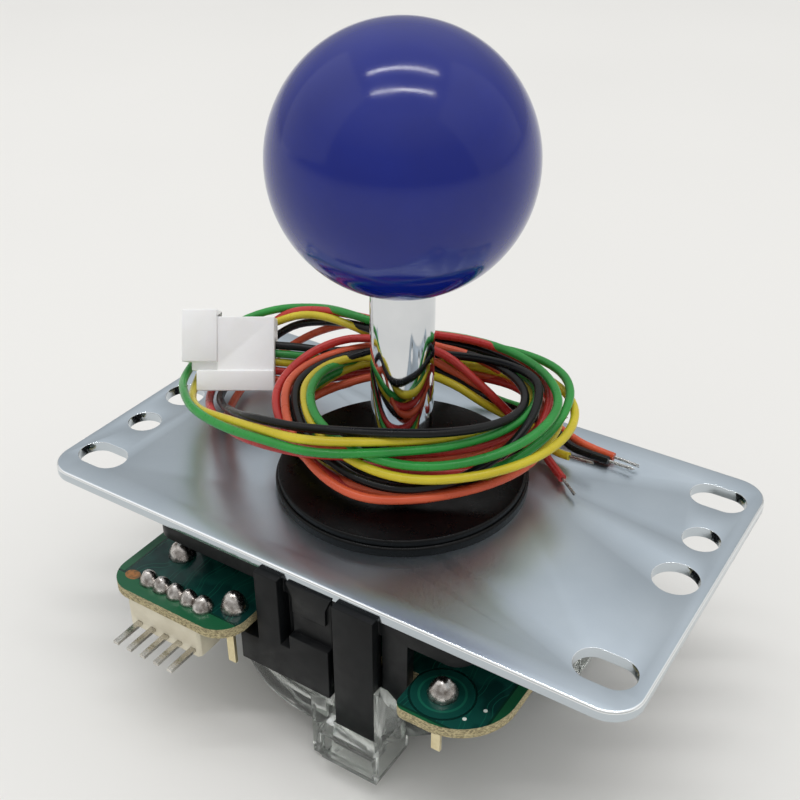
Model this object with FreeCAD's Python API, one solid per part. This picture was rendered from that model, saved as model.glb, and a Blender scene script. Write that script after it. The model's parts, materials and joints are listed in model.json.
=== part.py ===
"""Arcade joystick lever: ball-topped lever, sprung pivot, four microswitches, wiring harness.

Frame, in millimetres: the origin is the centre of the four plate slots, on the plate's top
face and on the lever's axis. +X runs along the plate's long side, +Y away from the side that
carries the pin header, and +Z up the lever.
"""
import FreeCAD, Part
import math
import os

from FreeCAD import Vector

# Mounting plate
plate_length = 95.0
plate_width = 53.0
plate_thickness = 1.6
plate_corner_r = 4.6
plate_edge_r = 0.4
slot_end_inset = 6.0
slot_side_inset = 6.5
slot_length = 8.2
slot_width = 5.5
side_hole_inset = 4.8
side_hole_r = 3.2
pilot_hole_y = 9.6
pilot_hole_r = 2.65

# Lever
ball_r = 17.5
ball_centre_z = 48.8
ball_flat_r = 5.0
shaft_r = 4.5
shaft_lower_r = 3.0
shaft_bottom_z = -30.8
stud_r = 3.0
stud_length = 13.0
driver_slot_width = 1.0
driver_slot_depth = 1.4
ring_groove_depth = 0.6
ring_r = 5.4
ring_thickness = 0.9
ring_mouth = 3.0

# Pivot, spring and actuator
pivot_z = -6.0
pivot_ball_r = 8.0
pivot_top_above = 4.95
pivot_bottom_below = 3.6
bushing_flange_r = 11.5
bushing_flange_thickness = 2.2
bushing_neck_r = 10.2
bushing_neck_length = 1.3
spring_mean_r = 7.3
spring_wire_d = 1.0
spring_turns = 2.5
spring_steps_per_turn = 12
spring_height = 3.2
seat_r = 9.0
seat_thickness = 1.2
actuator_r = 8.0
actuator_height = 4.8

# Dust washers
lower_washer_r = 18.7
lower_washer_hole_r = 7.0
lower_washer_thickness = 1.4
upper_washer_r = 18.3
upper_washer_hole_r = 4.9
upper_washer_thickness = 0.9
washer_gap = 0.1
washer_edge_r = 0.35

# Black body under the plate
flange_side = 52.0
flange_thickness = 2.8
flange_corner_r = 3.0
collar_r = 10.6
collar_mouth_r = 6.35
collar_mouth_flare = 0.3
collar_mouth_depth = 0.8
hub_r = 13.2
hub_height = 6.4
rib_width = 6.0
wall_proud = 1.5
wall_thickness = 1.6
wall_left_x = -6.4
wall_low_left_x = -9.7
wall_low_left_top_z = -13.8
wall_low_right_top_z = -10.5
wall_right_x = 5.6
wall_bottom_z = -19.0
wall_slot_left_x = -2.5
wall_slot_right_x = -0.9
wall_slot_bottom_z = -13.0
wall_back_thickness = 0.6
panel_proud = 0.3
hood_proud = 0.9
hood_left_x = -1.4
hood_right_x = 5.9
hood_slope = 0.9
hood_slope_bottom_z = -3.8
hood_bottom_z = -6.4
tongue_left_x = 6.5
tongue_width = 6.4
tongue_proud = 1.5
tongue_thickness = 2.1
tongue_bottom_z = -26.5
skirt_left_x = 13.4
skirt_right_x = 17.3
skirt_bottom_z = -14.6
screw_offset = 11.5
screw_r = 1.4
screw_head_r = 2.6
screw_head_height = 1.8

# Circuit board
board_half = 31.1
board_trim = 0.9
board_thickness = 1.6
board_hole_r = 10.5
notch_left_x = -8.0
notch_right_x = 17.7
notch_clearance = 0.7
header_lobe_proud = 1.3
lobe_corner_r = 4.5
lobe_far_corner_r = 8.5
notch_corner_r = 1.5

# Pin header
header_pin_count = 5
header_pitch = 2.54
header_left_inset = 4.1
header_row_inset = 1.8
header_front_proud = 1.1
header_left_end = 2.1
header_right_end = 1.3
header_depth = 4.6
header_height = 5.1
header_pin_drop = 4.05
header_pin_width = 0.9
header_pin_thickness = 0.5
header_pin_reach = 5.0

# Switches, one on each side of the lever
switch_left_x = -11.6
switch_length = 27.6
switch_inner_y = 11.8
switch_width = 12.4
switch_height = 8.2
switch_edge = 0.5
plunger_width = 3.0
plunger_height = 2.0
plunger_drop = 6.6
plunger_protrusion = 1.82
plunger_length = 5.0
plunger_travel = 0.7
plunger_clearance = 0.05
near_terminal_in = 0.5
near_terminal_out = 2.6
far_terminal_beyond = 6.1
far_terminal_out = 0.8
terminal_width = 1.3
terminal_thickness = 0.5
terminal_pin_r = 0.45
terminal_drop = 0.2
blade_drop = 5.6
near_blade_across = 1.5
near_blade_out = 3.1
far_blade_across = 0.8
far_blade_out = 3.0

# Solder
pin_solder_r = 1.2
pin_solder_height = 1.4
pin_in_solder = 0.7
terminal_solder_r = 2.05
terminal_solder_height = 2.6
terminal_in_solder = 0.85

# Clear restrictor gate
gate_r = 25.5
gate_wall = 1.6
gate_top_z = -22.2
gate_bottom_z = -27.3
gate_floor = 2.4
gate_foot_r = 13.0
gate_foot_z = -32.0
gate_opening_half = 7.5
gate_opening_corner_r = 1.0
loop_cheek = 1.2
loop_side_gap = 0.2
loop_bar_thickness = 1.5
loop_top_z = -22.9
loop_bottom_z = -29.4
loop_ridge = 0.5
loop_ridge_height = 1.0
loop_ridge_up = 2.2
fin_top_z = -13.7
fin_shoulder_z = -15.9
fin_waist_z = -17.7
fin_foot_z = -21.1
fin_width = 3.9
fin_thickness = 1.6
ear_width = 2.6
ear_thickness = 1.8
ear_top_z = -19.2
ear_bottom_z = -31.0

# Wiring harness. Its places are given as (along, front, up): along the loops' long axis,
# towards the header side across it, and up from the plate.
harness_turn_deg = 32.55
wire_d = 1.3
wire_names = ("black", "green", "yellow", "red", "orange")
connector_lean_deg = 32.0
connector_face_front = -18.6
connector_face_up = 10.4
connector_right = -20.2
connector_block_length = 9.0
connector_depth = 5.0
connector_block_top = 5.8
connector_block_bottom = -2.7
connector_latch_length = 5.6
connector_latch_top = 7.0
connector_latch_bottom = -1.3
connector_latch_proud = 0.3
connector_lip_length = 12.2
connector_lip_proud = 0.5
connector_lip_bottom = -5.9
connector_web_length = 4.2
connector_web_in = 1.0
connector_way_pitch = 1.35
connector_top_way = 1.45
connector_mouth_half = 0.9
connector_mouth_depth = 4.0
contact_half_height = 0.5
contact_inset = 1.2
wire_inset = 1.0
coil_bottom = 2.7
coil_top = 17.0
coil_outer_centre = (3.4, -3.4)
coil_outer_half = (23.0, 18.6)
coil_inner_centre = (1.6, -1.6)
coil_inner_half = (14.0, 12.2)
bare_d = 0.7
bare_length = 4.6

# Heights that follow from the sizes above
plate_bottom = -plate_thickness
flange_bottom = plate_bottom - flange_thickness
hub_bottom = flange_bottom - hub_height
board_top = hub_bottom
board_bottom = board_top - board_thickness
notch_inner = flange_side / 2 - wall_thickness - notch_clearance
header_left_x = -board_half + header_left_inset
header_first_x = header_left_x + header_left_end
header_row_y = -board_half + header_row_inset
header_front_y = -board_half - header_front_proud
header_pin_z = board_bottom - header_pin_drop
plunger_z = board_bottom - plunger_drop
ball_flat_z = ball_centre_z - math.sqrt(ball_r ** 2 - ball_flat_r ** 2)
pivot_top_z = pivot_z + pivot_top_above
pivot_bottom_z = pivot_z - pivot_bottom_below
bushing_bottom = board_top - bushing_neck_length
spring_top = bushing_bottom - washer_gap
spring_bottom = spring_top - spring_height - spring_wire_d
seat_top = spring_bottom - washer_gap
actuator_top = seat_top - seat_thickness
actuator_bottom = actuator_top - actuator_height
ring_top = actuator_bottom - washer_gap
running = 0.05
switch_right_x = switch_left_x + switch_length
switch_outer_y = -switch_inner_y - switch_width
near_terminal = (switch_left_x + near_terminal_in, switch_outer_y - near_terminal_out)
far_terminal = (switch_right_x + far_terminal_beyond, switch_outer_y - far_terminal_out)
near_blade = (near_terminal[0] + near_blade_across, near_terminal[1] - near_blade_out)
far_blade = (far_terminal[0] + far_blade_across, far_terminal[1] - far_blade_out)
tongue_outer_y = -flange_side / 2 - tongue_proud
loop_bar_back_y = tongue_outer_y - loop_side_gap
loop_bar_front_y = loop_bar_back_y - loop_bar_thickness
quarter_turns = {"front": 0, "right": 90, "back": 180, "left": 270}


def block(x0, x1, y0, y1, z0, z1):
    """A box between two corners."""
    return Part.makeBox(x1 - x0, y1 - y0, z1 - z0, Vector(x0, y0, z0))


def disc(radius, z0, z1, x=0.0, y=0.0):
    """A round bar or disc on a vertical axis."""
    return Part.makeCylinder(radius, z1 - z0, Vector(x, y, z0))


def sphere(radius, z):
    """A ball on the lever's axis."""
    return Part.makeSphere(radius, Vector(0, 0, z))


def turned(profile):
    """A solid turned about the vertical axis from (radius, z) points."""
    points = [Vector(r, 0, z) for r, z in profile]
    face = Part.Face(Part.makePolygon(points + points[:1]))
    return face.revolve(Vector(0, 0, 0), Vector(0, 0, 1), 360)


def moved(shape, x=0.0, y=0.0, z=0.0):
    """A copy of a shape, shifted."""
    copy = shape.copy()
    copy.translate(Vector(x, y, z))
    return copy


def spun(shape, degrees):
    """A copy of a shape, turned about the lever's axis."""
    copy = shape.copy()
    copy.rotate(Vector(0, 0, 0), Vector(0, 0, 1), degrees)
    return copy


def four_sides(shape):
    """The shape made for the front side, and its copies on the other three."""
    return [spun(shape, degrees) for degrees in quarter_turns.values()]


def joined(shapes):
    """Several overlapping shapes as one solid."""
    return shapes[0].fuse(list(shapes[1:])).removeSplitter()


def edges_at(shape, z, longer_than=0.0):
    """The edges that lie flat at a height."""
    return [
        edge
        for edge in shape.Edges
        if abs(edge.BoundBox.ZMin - z) < 0.001
        and abs(edge.BoundBox.ZMax - z) < 0.001
        and edge.Length > longer_than
    ]


def upright_edges(shape, where=lambda point: True):
    """The straight vertical edges whose middle passes a test."""
    return [
        edge
        for edge in shape.Edges
        if edge.BoundBox.XLength < 0.001
        and edge.BoundBox.YLength < 0.001
        and where(edge.CenterOfMass)
    ]


def slot_cutter(x, y, length, width, z0, z1):
    """A slot's space, running along X."""
    straight = (length - width) / 2
    ends = [disc(width / 2, z0, z1, x + side * straight, y) for side in (-1, 1)]
    middle = block(x - straight, x + straight, y - width / 2, y + width / 2, z0, z1)
    return joined([middle] + ends)


def harness_point(along, front, up):
    """A place on the harness, in the part's own frame."""
    turn = math.radians(harness_turn_deg)
    x = along * math.cos(turn) + front * math.sin(turn)
    y = along * math.sin(turn) - front * math.cos(turn)
    return Vector(x, y, up)


def harness_shape(shape):
    """A shape drawn with X along and Y away from the front, turned to the harness's lie."""
    return spun(shape, harness_turn_deg)


def round_tube(name, points, diameter):
    """A round tube along straight runs joined by tangent arcs as large as the runs allow."""
    edges = []
    radii = []
    start = points[0]
    for before, corner, after in zip(points, points[1:], points[2:]):
        into = corner - before
        out = after - corner
        turn = into.getAngle(out)
        reach = 0.45 * min(into.Length, out.Length)
        radii.append(reach / math.tan(turn / 2))
        into.normalize()
        out.normalize()
        arc_start = corner - into * reach
        arc_end = corner + out * reach
        inward = out - into
        inward.normalize()
        to_centre = math.hypot(radii[-1], reach)
        middle = corner + inward * (to_centre - radii[-1])
        edges.append(Part.makeLine(start, arc_start))
        edges.append(Part.Arc(arc_start, middle, arc_end).toShape())
        start = arc_end
    edges.append(Part.makeLine(start, points[-1]))
    path = Part.Wire(edges)
    heading = points[1] - points[0]
    section = Part.Wire([Part.makeCircle(diameter / 2, points[0], heading)])
    tube = path.makePipeShell([section], True, False)
    expected = math.pi * diameter ** 2 / 4 * path.Length
    tightest = min(radii) / diameter
    print(f"{name}: length {path.Length:.1f} mm, tightest arc {tightest:.1f} diameters, "
          f"volume {tube.Volume / expected:.3f} of section times length")
    return tube


# Plate
def make_mounting_plate():
    """Stamped steel plate with slots, holes and a rounded top edge."""
    half_x = plate_length / 2
    half_y = plate_width / 2
    plate = block(-half_x, half_x, -half_y, half_y, plate_bottom, 0)
    plate = plate.makeFillet(plate_corner_r, upright_edges(plate))
    low = plate_bottom - 1
    holes = [disc(collar_r + running, low, 1)]
    for side in (-1, 1):
        for other in (-1, 1):
            x = side * (half_x - slot_end_inset)
            y = other * (half_y - slot_side_inset)
            holes.append(slot_cutter(x, y, slot_length, slot_width, low, 1))
            holes.append(disc(screw_r, low, 1, side * screw_offset, other * screw_offset))
        hole_x = side * (half_x - side_hole_inset)
        holes.append(disc(side_hole_r, low, 1, hole_x, 0))
        holes.append(disc(pilot_hole_r, low, 1, hole_x, side * pilot_hole_y))
    rounded = plate.makeFillet(plate_edge_r, edges_at(plate, 0))
    return rounded.cut(holes)


# Lever
def make_ball_top():
    """Ball with a flat where the shaft's shoulder meets it and a blind bore for the stud."""
    ball = sphere(ball_r, ball_centre_z)
    under = disc(ball_r, ball_flat_z - ball_r, ball_flat_z)
    bore = disc(stud_r, ball_flat_z - 1, ball_flat_z + stud_length)
    return ball.cut([under, bore])


def make_lever_shaft():
    """Stepped shaft: stud in the ball, bright upper length, slim lower length."""
    upper = disc(shaft_r, pivot_top_z, ball_flat_z)
    stud = disc(stud_r, ball_flat_z, ball_flat_z + stud_length)
    lower = disc(shaft_lower_r, shaft_bottom_z, pivot_top_z)
    lower = lower.makeChamfer(0.4, edges_at(lower, shaft_bottom_z))
    shaft = joined([upper, stud, lower])
    groove_inner = disc(shaft_lower_r - ring_groove_depth, ring_top - ring_thickness, ring_top)
    groove = disc(shaft_lower_r + 1, ring_top - ring_thickness, ring_top).cut(groove_inner)
    driver_slot = block(-shaft_r, shaft_r, -driver_slot_width / 2, driver_slot_width / 2,
                        shaft_bottom_z - 1, shaft_bottom_z + driver_slot_depth)
    return shaft.cut([groove, driver_slot])


def make_retaining_ring():
    """Open ring pressed into the shaft's groove."""
    inner_r = shaft_lower_r - ring_groove_depth
    bottom = ring_top - ring_thickness
    ring = disc(ring_r, bottom, ring_top).cut(disc(inner_r, bottom - 1, ring_top + 1))
    mouth = block(0, ring_r + 1, -ring_mouth / 2, ring_mouth / 2, bottom - 1, ring_top + 1)
    return ring.cut(mouth)


def make_pivot_ball():
    """Ball joint on the shaft, flat above and below, bored to let the shaft turn."""
    ball = sphere(pivot_ball_r, pivot_z)
    above = disc(pivot_ball_r + 1, pivot_top_z - running, pivot_z + pivot_ball_r + 1)
    below = disc(pivot_ball_r + 1, pivot_z - pivot_ball_r - 1, pivot_bottom_z)
    bore = disc(shaft_lower_r + running, pivot_z - pivot_ball_r, pivot_z + pivot_ball_r)
    return ball.cut([above, below, bore])


def make_spring_bushing():
    """Ring under the pivot ball: its flange is trapped between the hub and the board."""
    flange_top = board_top + bushing_flange_thickness
    flange = disc(bushing_flange_r, board_top, flange_top)
    neck = disc(bushing_neck_r, bushing_bottom, flange_top)
    seat = sphere(pivot_ball_r + running, pivot_z)
    inner_r = math.sqrt(pivot_ball_r ** 2 - (pivot_z - board_top) ** 2)
    mouth = turned([(0, board_top), (inner_r, board_top), (inner_r + 1.2, bushing_bottom - 1),
                    (0, bushing_bottom - 1)])
    return joined([flange, neck]).cut([seat, mouth])


def make_return_spring():
    """Short compression spring between the bushing and the seat on the lever."""
    steps = round(spring_turns * spring_steps_per_turn)
    rise = spring_height / steps
    low = spring_bottom + spring_wire_d / 2
    route = []
    for step in range(steps + 1):
        angle = step * math.tau / spring_steps_per_turn
        route.append(Vector(spring_mean_r * math.cos(angle), spring_mean_r * math.sin(angle),
                            low + step * rise))
    return round_tube("return_spring", route, spring_wire_d)


def make_spring_seat():
    """Flanged disc under the spring, bored for the shaft."""
    seat = disc(seat_r, seat_top - seat_thickness, seat_top)
    return seat.cut(disc(shaft_lower_r + running, seat_top - seat_thickness - 1, seat_top + 1))


def make_actuator():
    """Round plastic sleeve that presses the switches."""
    sleeve = disc(actuator_r, actuator_bottom, actuator_top)
    sleeve = sleeve.makeChamfer(0.5, edges_at(sleeve, actuator_bottom))
    return sleeve.cut(disc(shaft_lower_r + running, actuator_bottom - 1, actuator_top + 1))


# Dust washers
def make_washer(outer_r, hole_r, bottom, thickness):
    """Flat disc with a rounded rim."""
    body = disc(outer_r, bottom, bottom + thickness)
    body = body.makeFillet(washer_edge_r, edges_at(body, bottom + thickness))
    return body.cut(disc(hole_r, bottom - 1, bottom + thickness + 1))


# Body under the plate
def upright_plate(corners, y0, y1):
    """A plate that faces the front, from its (x, z) corners, between two depths."""
    points = [Vector(x, y0, z) for x, z in corners]
    face = Part.Face(Part.makePolygon(points + points[:1]))
    return face.extrude(Vector(0, y1 - y0, 0))


def make_front_wall():
    """The front side's wall, proud of the plate's edge, with a slot and a set-back panel."""
    flush_y = -flange_side / 2
    inner_y = flush_y + wall_thickness
    wall = upright_plate([
        (wall_left_x, plate_bottom), (wall_slot_left_x, plate_bottom),
        (wall_slot_left_x, wall_slot_bottom_z), (wall_slot_right_x, wall_slot_bottom_z),
        (wall_slot_right_x, wall_low_right_top_z), (wall_right_x, wall_low_right_top_z),
        (wall_right_x, wall_bottom_z), (wall_low_left_x, wall_bottom_z),
        (wall_low_left_x, wall_low_left_top_z), (wall_left_x, wall_low_left_top_z)],
        flush_y - wall_proud, inner_y)
    back = block(wall_left_x, wall_right_x, inner_y - wall_back_thickness, inner_y,
                 wall_low_left_top_z, plate_bottom)
    panel = block(wall_slot_right_x, wall_right_x, flush_y - panel_proud, inner_y,
                  wall_low_right_top_z, plate_bottom)
    hood = upright_plate([
        (hood_left_x, plate_bottom), (hood_right_x, plate_bottom),
        (hood_right_x - hood_slope, hood_slope_bottom_z), (hood_right_x - hood_slope, hood_bottom_z),
        (hood_left_x + hood_slope, hood_bottom_z), (hood_left_x + hood_slope, hood_slope_bottom_z)],
        flush_y - hood_proud, flush_y)
    return joined([wall, back, panel, hood])


def make_front_tongue():
    """The front side's springy tongue, which the gate's loop clips over."""
    return block(tongue_left_x, tongue_left_x + tongue_width, tongue_outer_y,
                 tongue_outer_y + tongue_thickness, tongue_bottom_z, plate_bottom)


def make_front_skirt():
    """The short skirt beside the tongue, in front of the board's notch."""
    outer_y = -flange_side / 2
    return block(skirt_left_x, skirt_right_x, outer_y, outer_y + wall_thickness, skirt_bottom_z,
                 flange_bottom)


def make_front_rib():
    """The rib that ties the front wall to the hub."""
    inner_y = -flange_side / 2 + wall_thickness
    return block(-rib_width / 2 - 1, rib_width / 2 - 1, inner_y, -hub_r + 1, hub_bottom,
                 flange_bottom)


def make_main_body():
    """Black moulding: flange, collar, hub with the pivot's socket, walls and tongues."""
    half = flange_side / 2
    flange = block(-half, half, -half, half, flange_bottom, plate_bottom)
    flange = flange.makeFillet(flange_corner_r, upright_edges(flange))
    collar = disc(collar_r, plate_bottom, 0)
    hub = disc(hub_r, hub_bottom, flange_bottom)
    sides = []
    for part in (make_front_wall(), make_front_tongue(), make_front_skirt(), make_front_rib()):
        sides += four_sides(part)
    body = joined([flange, collar, hub] + sides)
    socket = sphere(pivot_ball_r + running, pivot_z)
    throat_r = collar_mouth_r - collar_mouth_flare
    mouth = turned([(0, pivot_z), (throat_r, pivot_z), (throat_r, -collar_mouth_depth),
                    (collar_mouth_r, 0), (collar_mouth_r, 1), (0, 1)])
    below = disc(pivot_ball_r + running, hub_bottom - 1, pivot_z)
    counterbore = disc(bushing_flange_r + running, hub_bottom - 1,
                       hub_bottom + bushing_flange_thickness)
    cuts = [socket, mouth, below, counterbore]
    for x in (-screw_offset, screw_offset):
        for y in (-screw_offset, screw_offset):
            cuts.append(disc(screw_r, flange_bottom - 1, plate_bottom + 1, x, y))
            cuts.append(disc(screw_head_r + running, hub_bottom - 1, flange_bottom, x, y))
    return body.cut(cuts)


def make_body_screws():
    """Four pan-head screws that hold the body to the plate."""
    screws = []
    for x in (-screw_offset, screw_offset):
        for y in (-screw_offset, screw_offset):
            head_bottom = flange_bottom - screw_head_height
            shank = disc(screw_r, flange_bottom, -0.1, x, y)
            head = disc(screw_head_r, head_bottom, flange_bottom, x, y)
            head = head.makeFillet(0.7, edges_at(head, head_bottom))
            recess = joined([
                block(x - 1.5, x + 1.5, y - 0.35, y + 0.35, head_bottom - 1, head_bottom + 0.9),
                block(x - 0.35, x + 0.35, y - 1.5, y + 1.5, head_bottom - 1, head_bottom + 0.9)])
            screws.append(joined([shank, head]).cut(recess))
    return Part.makeCompound(screws)


# Board, solder and header
def header_pin_x():
    """The header pins' places along X."""
    return [header_first_x + index * header_pitch for index in range(header_pin_count)]


def terminal_places():
    """The two soldered terminals of every switch, as (x, y)."""
    places = []
    for degrees in quarter_turns.values():
        for x, y in (near_terminal, far_terminal):
            spot = spun(Part.Vertex(x, y, 0), degrees).Point
            places.append((spot.x, spot.y))
    return places


def pin_holes(radius, z0, z1):
    """Round holes for the header's pins and the switch terminals."""
    holes = [disc(radius, z0, z1, x, header_row_y) for x in header_pin_x()]
    return holes + [disc(radius, z0, z1, x, y) for x, y in terminal_places()]


def make_circuit_board():
    """Board with four lobed corners, a round hole for the lever and a lobe for the header."""
    z0, z1 = board_bottom, board_top
    board = block(-board_half, board_half, -board_half, board_half, z0, z1)
    trimmed = board_half - board_trim
    notch = block(notch_left_x, notch_right_x, -board_half - 1, -notch_inner, z0 - 1, z1 + 1)
    edge = block(notch_right_x, board_half + 1, -board_half - 1, -trimmed, z0 - 1, z1 + 1)
    board = board.cut(four_sides(notch) + [edge])
    ends = upright_edges(board, lambda p: max(abs(p.x), abs(p.y)) > trimmed - running
                         and min(abs(p.x), abs(p.y)) < notch_right_x + running)
    board = board.makeFillet(notch_corner_r, ends)
    corners = upright_edges(board, lambda p: min(abs(p.x), abs(p.y)) > trimmed - running
                            and max(p.x, p.y) > 0)
    board = board.makeFillet(lobe_far_corner_r, corners)
    lobe = block(-board_half, notch_left_x, -board_half - header_lobe_proud, -notch_inner, z0, z1)
    board = joined([board, lobe])
    tips = upright_edges(board, lambda p: p.y < -board_half - running)
    board = board.makeFillet(lobe_corner_r, tips)
    hole = disc(board_hole_r, z0 - 1, z1 + 1)
    return board.cut([hole] + pin_holes(0.8, z0 - 1, z1 + 1))


def solder_cone(radius, height, x, y):
    """One solder joint: a skirt that rises to a blunt point."""
    cone = turned([(0, 0), (radius, 0), (radius * 0.92, height * 0.22),
                   (radius * 0.55, height * 0.6), (radius * 0.26, height), (0, height)])
    return moved(cone, x, y, board_top)


def make_solder_joints(pins):
    """Every solder joint on the board's top face, around its pin."""
    joints = [solder_cone(pin_solder_r, pin_solder_height, x, header_row_y)
              for x in header_pin_x()]
    joints += [solder_cone(terminal_solder_r, terminal_solder_height, x, y)
               for x, y in terminal_places()]
    return Part.makeCompound([joint.cut(pins) for joint in joints])


def make_header_pins():
    """Right-angle pins: up through the board, and out of the housing's front."""
    pins = []
    half = header_pin_width / 2
    tip_y = header_front_y - header_pin_reach
    for x in header_pin_x():
        upright = block(x - half, x + half, header_row_y - header_pin_thickness / 2,
                        header_row_y + header_pin_thickness / 2,
                        header_pin_z - header_pin_thickness / 2,
                        board_top + pin_solder_height * pin_in_solder)
        level = block(x - half, x + half, tip_y, header_row_y,
                      header_pin_z - header_pin_thickness / 2,
                      header_pin_z + header_pin_thickness / 2)
        pins.append(joined([upright, level]))
    return Part.makeCompound(pins)


def make_header_housing(pins):
    """Cream housing under the header lobe."""
    right_x = header_pin_x()[-1] + header_right_end
    housing = block(header_left_x, right_x, header_front_y, header_front_y + header_depth,
                    board_bottom - header_height, board_bottom)
    housing = housing.makeChamfer(0.4, upright_edges(housing))
    return housing.cut(pins)


# Switches
def front_plunger_space(clearance):
    """The front plunger's bar, with an allowance all round."""
    half = plunger_width / 2 + clearance
    tip_y = -switch_inner_y + plunger_protrusion
    deep = plunger_length + (plunger_travel * 2 if clearance else 0)
    return block(-half, half, tip_y - deep, tip_y, plunger_z - plunger_height / 2 - clearance,
                 plunger_z + plunger_height / 2 + clearance)


def make_front_switch():
    """Switch case with bevelled edges and the plunger's guide."""
    case_bottom = board_bottom - switch_height
    case = block(switch_left_x, switch_right_x, switch_outer_y, -switch_inner_y, case_bottom,
                 board_bottom)
    case = case.makeChamfer(switch_edge, edges_at(case, case_bottom) + upright_edges(case))
    return case.cut(front_plunger_space(plunger_clearance))


def make_front_plunger():
    """The front switch's plunger, with a rounded nose."""
    plunger = front_plunger_space(0)
    tip_y = -switch_inner_y + plunger_protrusion
    nose = [edge for edge in plunger.Edges
            if abs(edge.CenterOfMass.y - tip_y) < 0.001 and edge.BoundBox.ZLength < 0.001]
    return plunger.makeFillet(0.6, nose)


def make_switch_terminals():
    """Each switch's two strips to the board and its two spare blades below the board."""
    strip_top = board_bottom - terminal_drop
    strip_bottom = strip_top - terminal_thickness
    half = terminal_width / 2
    pieces = []
    near_x, near_y = near_terminal
    far_x, far_y = far_terminal
    near_strip = block(near_x - half, near_x + half, near_y - half, switch_outer_y,
                       strip_bottom, strip_top)
    far_strip_y = switch_outer_y + terminal_width
    far_strip = joined([
        block(switch_right_x, far_x + half, far_strip_y - half, far_strip_y + half,
              strip_bottom, strip_top),
        block(far_x - half, far_x + half, far_y - half, far_strip_y + half,
              strip_bottom, strip_top)])
    for strip, (x, y) in ((near_strip, near_terminal), (far_strip, far_terminal)):
        pin = disc(terminal_pin_r, strip_bottom,
                   board_top + terminal_solder_height * terminal_in_solder, x, y)
        pieces.append(joined([strip, pin]))
    for index, ((x, y), (pin_x, pin_y)) in enumerate(((near_blade, near_terminal),
                                                      (far_blade, far_terminal))):
        stem = block(x - half, x + half, y, y + terminal_thickness,
                     board_bottom - blade_drop, strip_top)
        reach = block(x - half, x + half, y, pin_y + half, strip_bottom, strip_top)
        across = block(min(x, pin_x) - half, max(x, pin_x) + half, pin_y - half, pin_y + half,
                       strip_bottom, strip_top)
        pieces[index] = joined([pieces[index], stem, reach, across])
    copies = []
    for piece in pieces:
        copies += four_sides(piece)
    return copies


# Gate
def make_front_loop():
    """The front side's clip: cheeks, ridged bar, fin and ear."""
    inner_left = tongue_left_x - loop_side_gap
    inner_right = tongue_left_x + tongue_width + loop_side_gap
    ring_y = -math.sqrt((gate_r - gate_wall / 2) ** 2 - inner_right ** 2)
    cheeks = [block(x, x + loop_cheek, loop_bar_front_y, ring_y, loop_bottom_z, loop_top_z)
              for x in (inner_left - loop_cheek, inner_right)]
    bar = block(inner_left - loop_cheek, inner_right + loop_cheek, loop_bar_front_y,
                loop_bar_back_y, loop_bottom_z, loop_top_z)
    ridges = [block(inner_left - loop_cheek, inner_right + loop_cheek,
                    loop_bar_front_y - loop_ridge, loop_bar_front_y, top - loop_ridge_height, top)
              for top in (loop_top_z, loop_bottom_z + loop_ridge_up)]
    cheek_x = inner_right + loop_cheek
    fin_x = inner_right + fin_width
    corners = [(inner_right, fin_top_z), (cheek_x, fin_top_z), (fin_x, fin_shoulder_z),
               (fin_x, fin_waist_z), (cheek_x, fin_foot_z), (cheek_x, loop_bottom_z),
               (inner_right, loop_bottom_z)]
    fin = upright_plate(corners, loop_bar_back_y, loop_bar_back_y + fin_thickness)
    ear_left = inner_left - loop_cheek - ear_width
    ear_back = loop_bar_back_y + ear_thickness
    ear = block(ear_left, inner_left - loop_cheek, loop_bar_back_y, ear_back, ear_bottom_z,
                ear_top_z)
    wall_y = -math.sqrt((gate_r - gate_wall / 2) ** 2 - (inner_left - loop_cheek) ** 2)
    ear_tie = block(ear_left, inner_left - loop_cheek, min(ear_back, wall_y),
                    max(ear_back, wall_y), ear_bottom_z, gate_top_z)
    return joined(cheeks + [bar] + ridges + [fin, ear, ear_tie])


def make_restrictor_gate():
    """Clear shallow cup on a round foot, its square opening for the lever, and its four clips."""
    floor_top = gate_bottom_z + gate_floor
    cup = disc(gate_r, gate_bottom_z, gate_top_z).cut(
        disc(gate_r - gate_wall, floor_top, gate_top_z + 1))
    foot = disc(gate_foot_r, gate_foot_z, floor_top)
    half = gate_opening_half
    opening = block(-half, half, -half, half, gate_foot_z - 1, floor_top + 1)
    opening = opening.makeFillet(gate_opening_corner_r, upright_edges(opening))
    tongue_space = [
        spun(block(tongue_left_x - loop_side_gap, tongue_left_x + tongue_width + loop_side_gap,
                   loop_bar_back_y, tongue_outer_y + tongue_thickness + loop_side_gap,
                   tongue_bottom_z - loop_side_gap, 0), degrees)
        for degrees in quarter_turns.values()]
    gate = joined([cup, foot] + four_sides(make_front_loop()))
    return gate.cut([opening] + tongue_space)


# Harness
def leaning_place(along, out, rise):
    """A harness place from the leaning connector's face: out from it and up along it."""
    lean = math.radians(connector_lean_deg)
    front = connector_face_front + out * math.cos(lean) - rise * math.sin(lean)
    up = connector_face_up + out * math.sin(lean) + rise * math.cos(lean)
    return along, front, up


def leaning_block(a0, a1, out0, out1, rise0, rise1):
    """A box in the leaning connector's own directions, turned to its lie."""
    shape = block(a0, a1, -out1, -out0, rise0, rise1)
    shape.rotate(Vector(0, 0, 0), Vector(1, 0, 0), -connector_lean_deg)
    return harness_shape(moved(shape, 0, -connector_face_front, connector_face_up))


def way_rises():
    """How high along the face each wire enters, from the top."""
    return [connector_top_way - index * connector_way_pitch for index in range(len(wire_names))]


connector_ways = [leaning_place(connector_right - wire_inset, -connector_depth / 2, rise)
                  for rise in way_rises()]


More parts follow.
